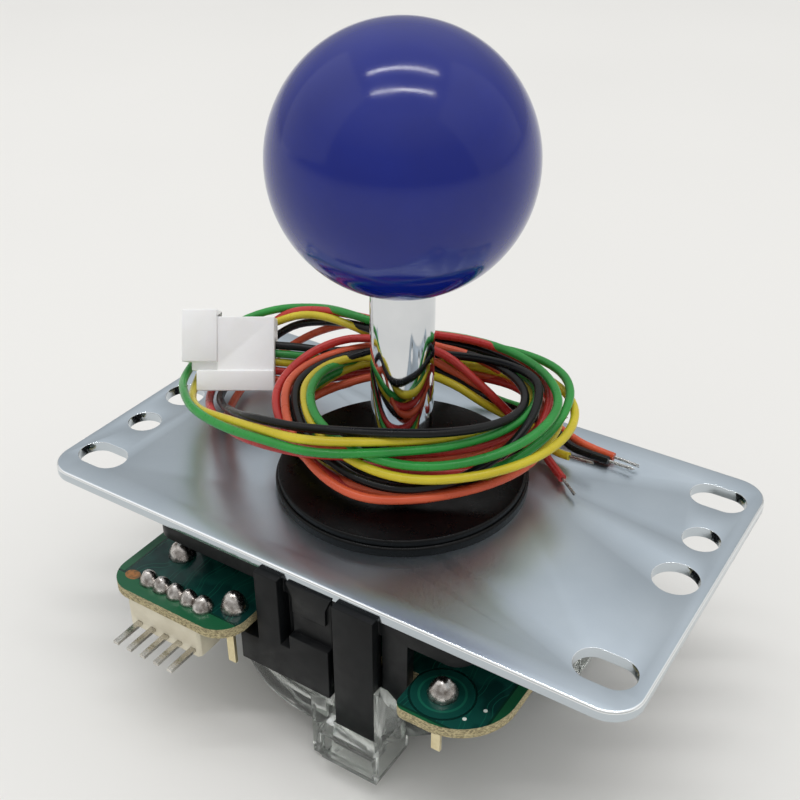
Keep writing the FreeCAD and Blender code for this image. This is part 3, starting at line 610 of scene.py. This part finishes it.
def turned(name: str, profile: Sequence[Pair], finish: Finish, sides: int) -> bpy.types.Object:
    """A closed piece turned about the lever's axis.

    Args:
        name: the piece's name.
        profile: (radius, z) points in millimetres, from the bottom up; both ends are on the axis.
        finish: its material.
        sides: how many faces go round.

    Returns:
        The new object.
    """
    (_, bottom), *rings, (_, top) = profile
    points = [(0.0, 0.0, bottom)]
    for radius, z in rings:
        for side in range(sides):
            angle = math.tau * side / sides
            points.append((radius * math.cos(angle), radius * math.sin(angle), z))
    points.append((0.0, 0.0, top))
    last = len(points) - 1
    faces = []
    for side in range(sides):
        low, next_low = 1 + side, 1 + (side + 1) % sides
        faces.append((0, next_low, low))
        for _ in rings[1:]:
            high, next_high = low + sides, next_low + sides
            faces.append((low, next_low, next_high, high))
            low, next_low = high, next_high
        faces.append((low, next_low, last))
    mesh = bpy.data.meshes.new(name)
    mesh.from_pydata([Vector(point) * MM for point in points], [], faces)
    smooth_by_angle(mesh)
    return add_object(name, mesh, finish)


def softened(frame: dict, node: str, name: str, finish: Finish, width_mm: float,
             segments: int = 2) -> bpy.types.Object:
    """A copy of a CAD node with its sharp edges rounded, standing for it.

    Args:
        frame: the loaded frame.
        node: the node that is copied.
        name: the new piece's name.
        finish: its material.
        width_mm: how wide the rounding is.
        segments: faces across the rounding.

    Returns:
        The new object, which replaces the node and rides on its body.
    """
    same_point = 2e-6
    flat, sharp = math.radians(1.0), math.radians(40)
    shape = bmesh.new()
    shape.from_mesh(frame["nodes"][node].data)
    bmesh.ops.remove_doubles(shape, verts=shape.verts, dist=same_point)
    bmesh.ops.dissolve_limit(shape, angle_limit=flat, verts=shape.verts, edges=shape.edges,
                             delimit=set())
    mesh = bpy.data.meshes.new(name)
    shape.to_mesh(mesh)
    shape.free()
    piece = add_object(name, mesh, finish)
    bevel = piece.modifiers.new("rounding", "BEVEL")
    bevel.width = width_mm * MM
    bevel.segments = segments
    bevel.limit_method = "ANGLE"
    bevel.angle_limit = sharp
    bevel.use_clamp_overlap = True
    apply_modifiers(piece)
    smooth_by_angle(piece.data, 30)
    stand_for(frame, piece, node)
    return piece


def dress(frame: dict, finish: Finish, *nodes: str) -> None:
    """Give CAD nodes a finish."""
    for node in nodes:
        give_finish(frame["nodes"][node], finish)
        LOG.info("dressed %s in %s", node, finish.name)


def stand_for(frame: dict, piece: bpy.types.Object, *nodes: str) -> None:
    """Let a piece ride on its nodes' body and stand for them."""
    record = frame["record"]
    bodies = record["behaviour"]["bodies"]
    body = next(name for name, members in bodies.items() if nodes[0] in members)
    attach(piece, body)
    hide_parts(*nodes)
    LOG.info("made %s for %s on %s", piece.name, ", ".join(nodes), body)


# ---------------------------------------------------------------- lever
@dataclass
class Lever:
    """Ball top, chrome shaft and what turns or tilts with them."""

    ball_r: float = 17.5
    ball_z: float = BALL_Z
    flat_r: float = 5.0
    rings: int = 72
    sides: int = 144

    def build_ball(self, frame: dict) -> None:
        """The glossy ball, closed down to its flat."""
        start = math.asin(self.flat_r / self.ball_r)
        flat_z = self.ball_z - math.sqrt(self.ball_r ** 2 - self.flat_r ** 2)
        profile = [(0.0, flat_z)]
        for step in range(self.rings + 1):
            angle = start + (math.pi - start) * step / self.rings
            radius, down = self.ball_r * math.sin(angle), self.ball_r * math.cos(angle)
            profile.append((radius, self.ball_z - down))
        ball = turned("ball_knob", profile, BALL_RESIN, self.sides)
        stand_for(frame, ball, "ball_top")

    def build(self, frame: dict) -> None:
        """Build the ball and dress the rest of the lever."""
        self.build_ball(frame)
        dress(frame, CHROME, "lever_shaft")
        dress(frame, SPRING_STEEL, "return_spring", "retaining_ring")
        dress(frame, NYLON, "pivot_ball", "spring_bushing", "spring_seat")
        dress(frame, BLACK_BODY, "actuator")
        dress(frame, WASHER_PLASTIC, "lower_dust_washer", "upper_dust_washer")


# ---------------------------------------------------------------- plate, body and gate
@dataclass
class Chassis:
    """Mounting plate, black body, clear gate and screws."""

    sheet_rounding: float = 0.3
    sheet_segments: int = 3
    mould_rounding: float = 0.25

    def build(self, frame: dict) -> None:
        """Dress the plate and round the mouldings' edges."""
        softened(frame, "mounting_plate", "plate_sheet", ZincPlate("zinc_plated_steel_sheet"),
                 self.sheet_rounding, self.sheet_segments)
        dress(frame, SCREW_STEEL, "body_screws")
        softened(frame, "main_body", "body_moulding", BLACK_BODY, self.mould_rounding)
        softened(frame, "restrictor_gate", "gate_moulding", ClearResin("clear_polycarbonate"),
                 self.mould_rounding)


# ---------------------------------------------------------------- board and switches
@dataclass
class Electrics:
    """Circuit board, pin header, solder and switches.

    A joint is a radius and a height. Its profile gives shares of the height and, for each, the
    share of the radius. No two joints are quite alike: their width, ovalness and height vary.
    """

    board_top: float = -10.8
    pin_first_x: float = -24.9
    pin_pitch: float = 2.54
    pin_count: int = 5
    pin_y: float = -29.3
    near_terminal: Pair = (-11.1, -26.8)
    far_terminal: Pair = FAR_TERMINAL
    pin_joint: Pair = (1.55, 2.1)
    terminal_joint: Pair = (2.05, 2.6)
    joint_ends: tuple[Pair, Pair] = ((0.0, 1.0), (1.0, 0.2))
    joint_profile: tuple[Pair, ...] = ((0.15, 0.98), (0.5, 0.8), (0.82, 0.5))
    widths: Pair = (0.94, 1.06)
    ovals: Pair = (0.9, 1.1)
    heights: Pair = (0.92, 1.05)
    seed: int = 7
    lump_size: float = 1.6
    lump_depth: float = 0.3
    header_rounding: float = 0.2

    def joint_places(self) -> list[tuple[Place, Pair]]:
        """Where each solder joint stands, and its radius and height."""
        places = []
        for index in range(self.pin_count):
            places.append(((self.pin_first_x + index * self.pin_pitch, self.pin_y, self.board_top),
                           self.pin_joint))
        for quarter in range(4):
            turn = Matrix.Rotation(quarter * math.pi / 2, 3, "Z")
            for x, y in (self.near_terminal, self.far_terminal):
                spot = turn @ Vector((x, y, self.board_top))
                places.append((tuple(spot), self.terminal_joint))
        return places

    def joint_shape(self, tree: Tree) -> Socket:
        """A solder joint of radius 1 and height 1 that stands on its own origin."""
        bar = add_node(tree, "GeometryNodeMeshCylinder", {
            "Vertices": 28, "Side Segments": 10, "Fill Segments": 3, "Radius": 1.0, "Depth": 1.0},
            fill_type="TRIANGLE_FAN")
        lifted = add_node(tree, "GeometryNodeTransform", {
            "Geometry": bar.outputs["Mesh"], "Translation": (0.0, 0.0, 0.5)})
        place = add_node(tree, "GeometryNodeInputPosition").outputs[0]
        split = add_node(tree, "ShaderNodeSeparateXYZ", {0: place})
        profile = add_node(tree, "ShaderNodeFloatCurve", {"Value": split.outputs["Z"]})
        points = profile.mapping.curves[0].points
        for point, spot in zip(points, self.joint_ends):
            point.location = spot
        for spot in self.joint_profile:
            points.new(*spot)
        profile.mapping.update()
        wide = add_node(tree, "ShaderNodeCombineXYZ", {
            0: profile.outputs[0], 1: profile.outputs[0], 2: 1.0})
        narrowed = add_node(tree, "ShaderNodeVectorMath", {0: place, 1: wide.outputs[0]},
                            operation="MULTIPLY")
        shaped = add_node(tree, "GeometryNodeSetPosition", {
            "Geometry": lifted.outputs[0], "Position": narrowed.outputs[0]})
        return shaped.outputs[0]

    def solder_tree(self) -> Tree:
        """Lumpy solder cones on every point, sized by the points' attributes."""
        tree = bpy.data.node_groups.new("solder_joints", "GeometryNodeTree")
        for name, way, kind in (("Geometry", "INPUT", "NodeSocketGeometry"),
                                ("Lump", "INPUT", "NodeSocketFloat"),
                                ("Geometry", "OUTPUT", "NodeSocketGeometry")):
            tree.interface.new_socket(name, in_out=way, socket_type=kind)
        given = add_node(tree, "NodeGroupInput")
        joint = self.joint_shape(tree)
        sizes = add_node(tree, "GeometryNodeInputNamedAttribute", {"Name": "joint_size"},
                         data_type="FLOAT_VECTOR")
        copies = add_node(tree, "GeometryNodeInstanceOnPoints", {
            "Points": given.outputs["Geometry"], "Instance": joint,
            "Scale": sizes.outputs["Attribute"]})
        real = add_node(tree, "GeometryNodeRealizeInstances", {0: copies.outputs[0]})
        lumps = add_node(tree, "ShaderNodeTexNoise", {
            "Scale": per_mm(self.lump_size), "Detail": 2.0})
        centred = worked_out(tree, "SUBTRACT", lumps.outputs["Fac"], 0.5)
        deep = worked_out(tree, "MULTIPLY", centred, given.outputs["Lump"])
        normal = add_node(tree, "GeometryNodeInputNormal").outputs[0]
        shift = add_node(tree, "ShaderNodeVectorMath", {0: normal, "Scale": deep},
                         operation="SCALE")
        lumpy = add_node(tree, "GeometryNodeSetPosition", {
            "Geometry": real.outputs[0], "Offset": shift.outputs[0]})
        smooth = add_node(tree, "GeometryNodeSetShadeSmooth", {"Geometry": lumpy.outputs[0]})
        dressed = add_node(tree, "GeometryNodeSetMaterial", {
            "Geometry": smooth.outputs[0], "Material": SOLDER.material()})
        add_node(tree, "NodeGroupOutput", {0: dressed.outputs[0]})
        return tree

    def build_solder(self, frame: dict) -> None:
        """Every solder joint on the board's top."""
        places = self.joint_places()
        mesh = bpy.data.meshes.new("solder_points")
        mesh.from_pydata([Vector(spot) * MM for spot, _ in places], [], [])
        sizes = mesh.attributes.new("joint_size", "FLOAT_VECTOR", "POINT")
        dice = random.Random(self.seed)
        for item, (_, (radius, height)) in zip(sizes.data, places):
            wide = radius * dice.uniform(*self.widths) * MM
            across = wide * dice.uniform(*self.ovals)
            item.vector = (wide, across, height * dice.uniform(*self.heights) * MM)
        piece = add_object("solder_cones", mesh)
        tree = self.solder_tree()
        modifier = piece.modifiers.new("solder", "NODES")
        modifier.node_group = tree
        sockets = {item.name: item.identifier for item in tree.interface.items_tree
                   if item.in_out == "INPUT"}
        modifier[sockets["Lump"]] = self.lump_depth * MM
        apply_modifiers(piece)
        stand_for(frame, piece, "solder_joints")

    def build(self, frame: dict) -> None:
        """Dress the board and its parts and build the solder."""
        dress(frame, SolderMask("glass_epoxy_green_mask"), "circuit_board")
        self.build_solder(frame)
        softened(frame, "header_housing", "header_moulding", CREAM_PLASTIC, self.header_rounding)
        dress(frame, TIN, "header_pins", "connector_contacts")
        dress(frame, BLADE, "switch_terminals")
        for side in ("front", "right", "back", "left"):
            dress(frame, SWITCH_PLASTIC, f"microswitch_{side}")
            dress(frame, PLUNGER_PLASTIC, f"plunger_{side}")


# ---------------------------------------------------------------- wiring harness
HARNESS_TURN = math.radians(32.55)


def harness_point(along: float, front: float, up: float) -> Vector:
    """A place on the harness, from millimetres in its own directions to the part's frame."""
    cos, sin = math.cos(HARNESS_TURN), math.sin(HARNESS_TURN)
    return Vector((along * cos + front * sin, along * sin - front * cos, up)) * MM


def wound(rounds: Sequence[Place], steps: int = 4) -> list[Place]:
    """Points along quarter ellipses from one furthest place to the next.

    Args:
        rounds: furthest places, the first at the back.
        steps: points to a quarter.

    Returns:
        The first place and every point after it.
    """
    places = [rounds[0]]
    for index, (start, end) in enumerate(zip(rounds, rounds[1:])):
        for step in range(1, steps + 1):
            angle = math.pi / 2 * step / steps
            sin, cos = math.sin(angle), math.cos(angle)
            if index % 2 == 0:
                along = start[0] + (end[0] - start[0]) * sin
                front = end[1] + (start[1] - end[1]) * cos
            else:
                along = end[0] + (start[0] - end[0]) * cos
                front = start[1] + (end[1] - start[1]) * sin
            share = step / steps
            up = start[2] + (end[2] - start[2]) * share * share * (3 - 2 * share)
            places.append((along, front, up))
    return places


@dataclass(frozen=True)
class WireRoute:
    """One wire's listed places, in the order it runs, as (along, front, up) millimetres.

    The rounds hold the loops' furthest places in turn: back, right, front, left and so on. From
    one of them to the next the wire follows a quarter of an ellipse.
    """

    colour: WireColour
    lead: tuple[Place, ...]
    first_rounds: tuple[Place, ...]
    outer: tuple[Place, ...]
    last_rounds: tuple[Place, ...]
    crossing: tuple[Place, ...]
    tail: tuple[Place, ...]

    def name(self) -> str:
        """The wire's colour as it stands in the names of its pieces and nodes."""
        return self.colour.name.lower()

    def points(self) -> list[Vector]:
        """The wire's control points in the part's frame, in metres."""
        places = list(self.lead) + wound(self.first_rounds) + list(self.outer)
        places += wound(self.last_rounds) + list(self.crossing) + list(self.tail)
        return [harness_point(*place) for place in places]


ROUTES = (
    WireRoute(
        WireColour.BLACK,
        lead=((-21.2, -21.5, 10.3), (-17.0, -21.5, 10.0), (-12.5, -21.0, 9.5), (-8.5, -20.0, 10.0)),
        first_rounds=((-0.5, -18.0, 13.5), (22.3, -8.0, 9.9), (4.5, 11.3, 6.4), (-17.0, -4.5, 9.0),
                      (0.5, -15.7, 13.4), (18.0, -2.0, 13.0), (1.0, 11.6, 15.2)),
        outer=((-13.5, 8.5, 14.0), (-20.0, 4.5, 13.0), (-23.5, -0.5, 10.5), (-26.0, -6.5, 7.5),
               (-28.0, -13.0, 4.0), (-30.0, -20.0, 1.5), (-28.0, -27.0, 1.7), (-24.0, -30.5, 4.5),
               (-18.5, -30.0, 9.5), (-12.5, -26.5, 12.0), (-6.0, -20.5, 14.5)),
        last_rounds=((3.0, -12.5, 13.8), (20.0, -2.5, 14.0), (0.5, 14.0, 7.5), (-16.0, -5.5, 11.5),
                     (-1.5, -17.0, 12.0)),
        crossing=((6.5, -12.0, 10.6), (12.0, -10.0, 7.5), (18.5, -10.0, 5.0)),
        tail=((23.5, -9.0, 2.6), (25.5, -6.0, 1.2), (28.0, -4.5, 1.0), (31.0, -2.5, 1.0))),
    WireRoute(
        WireColour.GREEN,
        lead=((-21.2, -20.8, 9.2), (-17.0, -20.5, 9.0), (-12.5, -21.0, 8.0), (-8.5, -20.0, 8.0)),
        first_rounds=((-0.5, -22.0, 11.0), (25.0, -5.5, 12.5), (6.0, 10.0, 6.5), (-15.5, -7.0, 8.0),
                      (-0.5, -17.3, 10.2), (20.0, -4.0, 12.5), (-2.0, 12.0, 12.5)),
        outer=((-12.0, 12.5, 12.5), (-19.5, 8.0, 12.0), (-25.5, 3.5, 11.0), (-31.0, -3.0, 10.0),
               (-33.5, -10.5, 8.5), (-35.0, -18.0, 6.0), (-34.0, -25.5, 5.5), (-29.0, -30.5, 9.0),
               (-21.5, -32.0, 11.5), (-13.5, -29.5, 13.0), (-9.0, -21.0, 16.5)),
        last_rounds=((0.0, -20.0, 13.5), (22.5, 0.0, 14.0), (3.0, 13.5, 11.0), (-13.5, -1.5, 13.5),
                     (0.0, -19.0, 9.5)),
        crossing=((3.0, -19.5, 8.0), (5.5, -20.0, 6.0), (8.0, -20.5, 4.5)),
        tail=((10.0, -21.0, 3.0), (13.5, -20.0, 2.0), (18.0, -18.0, 1.0), (22.5, -16.0, 1.0))),
    WireRoute(
        WireColour.YELLOW,
        lead=((-21.2, -20.1, 8.0), (-17.0, -20.5, 7.5), (-12.5, -20.5, 6.5), (-8.5, -20.0, 6.5)),
        first_rounds=((2.5, -22.5, 10.0), (23.5, -3.5, 9.0), (3.5, 10.4, 5.1), (-17.5, -9.0, 4.0),
                      (-2.5, -15.9, 10.9), (19.5, -6.0, 11.0), (-3.0, 11.0, 13.5)),
        outer=((-13.0, 11.5, 14.0), (-19.5, 6.5, 12.5), (-25.0, 1.5, 11.0), (-30.0, -4.0, 9.0),
               (-32.5, -11.0, 6.5), (-33.5, -18.5, 4.0), (-33.0, -26.0, 4.0), (-28.0, -30.0, 6.5),
               (-21.0, -30.0, 10.0), (-15.5, -26.5, 13.5), (-9.0, -21.5, 14.5)),
        last_rounds=((-0.5, -20.0, 10.5), (25.5, -2.5, 10.5), (3.0, 14.5, 9.5), (-14.5, -3.5, 12.5),
                     (-4.5, -15.0, 12.0)),
        crossing=((7.0, -9.5, 11.0), (12.5, -8.0, 7.5), (18.0, -8.5, 4.0)),
        tail=((21.5, -8.5, 2.4), (22.0, -6.5, 1.8), (23.0, -4.0, 1.5), (25.0, -2.5, 1.8))),
    WireRoute(
        WireColour.RED,
        lead=((-21.2, -19.3, 6.9), (-17.0, -20.0, 6.0), (-12.5, -20.5, 5.0), (-8.5, -20.0, 5.0)),
        first_rounds=((0.5, -23.5, 9.0), (23.4, -7.5, 6.4), (4.0, 10.5, 7.9), (-18.5, -9.0, 7.5),
                      (-0.5, -17.0, 8.0), (19.6, -5.0, 9.6), (-0.5, 10.8, 11.3)),
        outer=((-11.5, 10.0, 10.5), (-19.0, 6.0, 9.5), (-24.0, 1.0, 8.0), (-27.5, -6.0, 6.0),
               (-30.0, -12.5, 3.5), (-31.5, -19.5, 1.7), (-30.5, -26.5, 2.2), (-25.5, -30.5, 5.5),
               (-20.0, -31.0, 11.0), (-14.5, -27.0, 14.0), (-6.5, -21.5, 15.5)),
        last_rounds=((3.5, -17.5, 14.5), (22.0, -5.0, 12.0), (1.0, 11.0, 3.3), (-19.0, -5.5, 10.5),
                     (-6.0, -18.5, 13.5)),
        crossing=((5.5, -12.0, 15.3), (12.0, -8.5, 10.5), (16.5, -7.5, 6.0)),
        tail=((20.5, -5.5, 2.2), (21.5, -3.5, 1.5), (22.5, -1.0, 1.0), (23.5, 2.0, 1.0))),
    WireRoute(
        WireColour.ORANGE,
        lead=((-21.2, -18.6, 5.7), (-17.0, -19.5, 4.5), (-12.5, -20.0, 3.5), (-8.5, -20.0, 3.5)),
        first_rounds=((1.0, -21.0, 10.0), (21.5, -8.0, 7.5), (3.0, 11.8, 5.0), (-17.5, -6.0, 6.0),
                      (4.5, -14.6, 9.9), (20.0, -9.0, 8.0), (0.5, 10.4, 10.0)),
        outer=((-15.0, 10.0, 13.0), (-19.5, 2.5, 10.5), (-22.0, -3.0, 8.5), (-25.5, -7.5, 5.0),
               (-28.0, -13.0, 1.9), (-27.0, -21.0, 1.4), (-25.0, -27.0, 1.5), (-21.5, -29.5, 3.5),
               (-16.5, -29.0, 7.5), (-12.0, -27.0, 10.5), (-7.5, -24.0, 13.0)),
        last_rounds=((4.0, -14.0, 14.5), (22.0, -4.0, 6.1), (-3.0, 15.0, 6.5), (-17.5, -5.5, 11.5),
                     (0.0, -19.3, 11.8)),
        crossing=((3.5, -13.0, 13.5), (12.5, -11.5, 7.5), (18.0, -10.5, 3.0)),
        tail=((23.0, -11.5, 2.4), (25.5, -9.0, 1.5), (28.5, -6.0, 1.0), (32.0, -3.5, 1.0))),
)


def round_curve(name: str, diameter_mm: float, resolution: int) -> bpy.types.Curve:
    """An empty curve that is drawn as a round bar with closed ends."""
    data = bpy.data.curves.new(name, "CURVE")
    data.dimensions = "3D"
    data.bevel_depth = diameter_mm / 2 * MM
    data.bevel_resolution = resolution
    data.use_fill_caps = True
    return data


@dataclass
class Harness:
    """Connector and five wires in loose loops, each with stripped strands at its end.

    The first strand is the core, and the others lie on a ring round it. They start inside the
    jacket, twist by some radians, and differ in how far they reach and how much they spread.
    """

    wire_d: float = 1.3
    length: float = 0.425
    connector_right: float = -20.2
    connector_rounding: float = 0.3
    connector_segments: int = 3
    strand_d: float = 0.16
    strand_count: int = 7
    strand_length: float = 4.2
    strand_ring: float = 0.15
    strand_inside: float = 1.0
    strand_twist: float = 2.4
    strand_steps: int = 9
    reaches: Pair = (0.86, 1.0)
    spreads: Pair = (0.9, 1.3)
    seed: int = 11

    def build_wire(self, route: WireRoute) -> bpy.types.Object:
        """One wire as a smooth round curve through its route."""
        name = f"wire_{route.name()}"
        data = round_curve(name, self.wire_d, 3)
        data.resolution_u = 5
        points = route.points()
        spline = data.splines.new("NURBS")
        spline.points.add(len(points) - 1)
        for point, place in zip(spline.points, points):
            point.co = (*place, 1.0)
        spline.order_u = 3
        spline.use_endpoint_u = True
        return add_object(name, data, route.colour.value)

    def build_strands(self, route: WireRoute, dice: random.Random) -> bpy.types.Object:
        """The stripped, loosely twisted strands past the jacket's end."""
        name = f"bare_strands_{route.name()}"
        before, end = (harness_point(*place) for place in route.tail[-2:])
        heading = (end - before).normalized()
        side = heading.cross(Vector((0, 0, 1))).normalized()
        over = side.cross(heading)
        data = round_curve(f"strands_{route.name()}", self.strand_d, 1)
        for strand in range(self.strand_count):
            ring = 0.0 if strand == 0 else self.strand_ring
            phase = math.tau * strand / (self.strand_count - 1)
            reach = self.strand_length * dice.uniform(*self.reaches)
            spread = dice.uniform(*self.spreads)
            spline = data.splines.new("POLY")
            spline.points.add(self.strand_steps)
            for step, point in enumerate(spline.points):
                share = step / self.strand_steps
                angle = phase + share * self.strand_twist
                out = ring * (1.0 + (spread - 1.0) * share)
                along = (reach * share - self.strand_inside * (1 - share)) * MM
                place = end + heading * along
                place += (side * (out * math.cos(angle) * MM)
                          + over * (out * math.sin(angle) * MM))
                point.co = (*place, 1.0)
        drawn = add_object(name, data, STRANDS)
        mesh = final_mesh(drawn)
        bpy.data.objects.remove(drawn)
        mesh.name = name
        mesh.shade_smooth()
        return add_object(name, mesh)

    def build(self, frame: dict) -> None:
        """Build the connector, then every wire and its strands."""
        connector = softened(frame, "connector_housing", "connector_body", CONNECTOR_NYLON,
                             self.connector_rounding, self.connector_segments)
        dice = random.Random(self.seed)
        for route in ROUTES:
            name = route.name()
            strands = self.build_strands(route, dice)
            stand_for(frame, strands, f"bare_tip_{name}")
            wire = self.build_wire(route)
            nodes = [f"lead_{name}", f"outer_loop_{name}", f"tail_{name}"]
            if route.colour is WireColour.BLACK:
                nodes.append("harness_coil")
            stand_for(frame, wire, *nodes)


# ---------------------------------------------------------------- studio
FLOOR_Z = -32.0 * MM
FLOOR_HALF = 30.0
ACROSS = Vector((0.843, 0.538, 0.0))
SKY = ((0.0, "#b9b8b5"), (0.4, "#c8c8c7"), (0.8, "#ffffff"))
SKY_STRENGTH = 0.86


def build_stage() -> None:
    """A plain pale floor that the part stands on."""
    mesh = bpy.data.meshes.new("studio_floor")
    corners = [(x * FLOOR_HALF, y * FLOOR_HALF, FLOOR_Z)
               for x, y in ((-1, -1), (1, -1), (1, 1), (-1, 1))]
    mesh.from_pydata(corners, [], [(0, 1, 2, 3)])
    add_object("studio_floor", mesh, PAPER)


@dataclass(frozen=True)
class Lamp:
    """A white rectangular lamp that points at a place, its long side across the picture."""

    name: str
    place: Place
    aim: Place
    size: Pair
    power: float

    def build(self) -> None:
        """Create the lamp and turn it to its aim."""
        light = bpy.data.lights.new(self.name, "AREA")
        light.shape = "RECTANGLE"
        light.size, light.size_y = self.size
        light.energy = self.power
        back = (Vector(self.place) - Vector(self.aim)).normalized()
        side = (ACROSS - back * ACROSS.dot(back)).normalized()
        up = back.cross(side)
        turn = Matrix((side, up, back)).transposed().to_4x4()
        add_object(self.name, light).matrix_world = Matrix.Translation(self.place) @ turn


BALL_CENTRE = (0.0, 0.0, BALL_Z * MM)
LAMPS = (
    Lamp("tube_near", (0.163, -0.255, 1.262), BALL_CENTRE, (1.0, 0.03), 2.6),
    Lamp("tube_far", (-0.070, 0.110, 1.292), BALL_CENTRE, (1.0, 0.03), 2.6),
    Lamp("window_left", (-1.1, -0.5, 0.75), (0.0, 0.0, 0.0), (1.6, 1.6), 2.0),
    Lamp("window_right", (1.05, 0.6, 0.75), (0.0, 0.0, 0.0), (1.6, 1.6), 1.5),
)


def build_light() -> None:
    """A bright even room, two ceiling tubes, and a soft window on either side."""
    world = bpy.data.worlds.new("studio")
    bpy.context.scene.world = world
    world.use_nodes = True
    tree = world.node_tree
    direction = add_node(tree, "ShaderNodeTexCoord").outputs["Generated"]
    height = add_node(tree, "ShaderNodeSeparateXYZ", {0: direction}).outputs["Z"]
    set_inputs(tree, tree.nodes["Background"], {
        "Color": ramp(tree, height, SKY), "Strength": SKY_STRENGTH})
    for lamp in LAMPS:
        lamp.build()


@dataclass(frozen=True)
class Viewpoint:
    """The photograph's camera, in metres and degrees, with its lens and sensor in millimetres."""

    place: Place = (0.07336, -0.11556, 0.09896)
    pitch: float = 57.97
    heading: float = 32.55
    lens: float = 50.94
    sensor: float = 36.0
    nearest: float = 0.005

    def build(self) -> None:
        """Create the camera and make it the scene's."""
        data = bpy.data.cameras.new("camera")
        data.lens = self.lens
        data.sensor_width = self.sensor
        data.clip_start = self.nearest
        camera = add_object("camera", data)
        camera.location = self.place
        camera.rotation_euler = (math.radians(self.pitch), 0.0, math.radians(self.heading))
        bpy.context.scene.camera = camera


def main() -> None:
    """Build every part of the scene in order."""
    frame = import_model()
    bpy.context.scene.view_settings.view_transform = "Standard"
    Viewpoint().build()
    build_stage()
    build_light()
    for assembly in (Lever(), Chassis(), Electrics(), Harness()):
        assembly.build(frame)
        LOG.info("built %s", type(assembly).__name__)


if __name__ == "__main__":
    main()
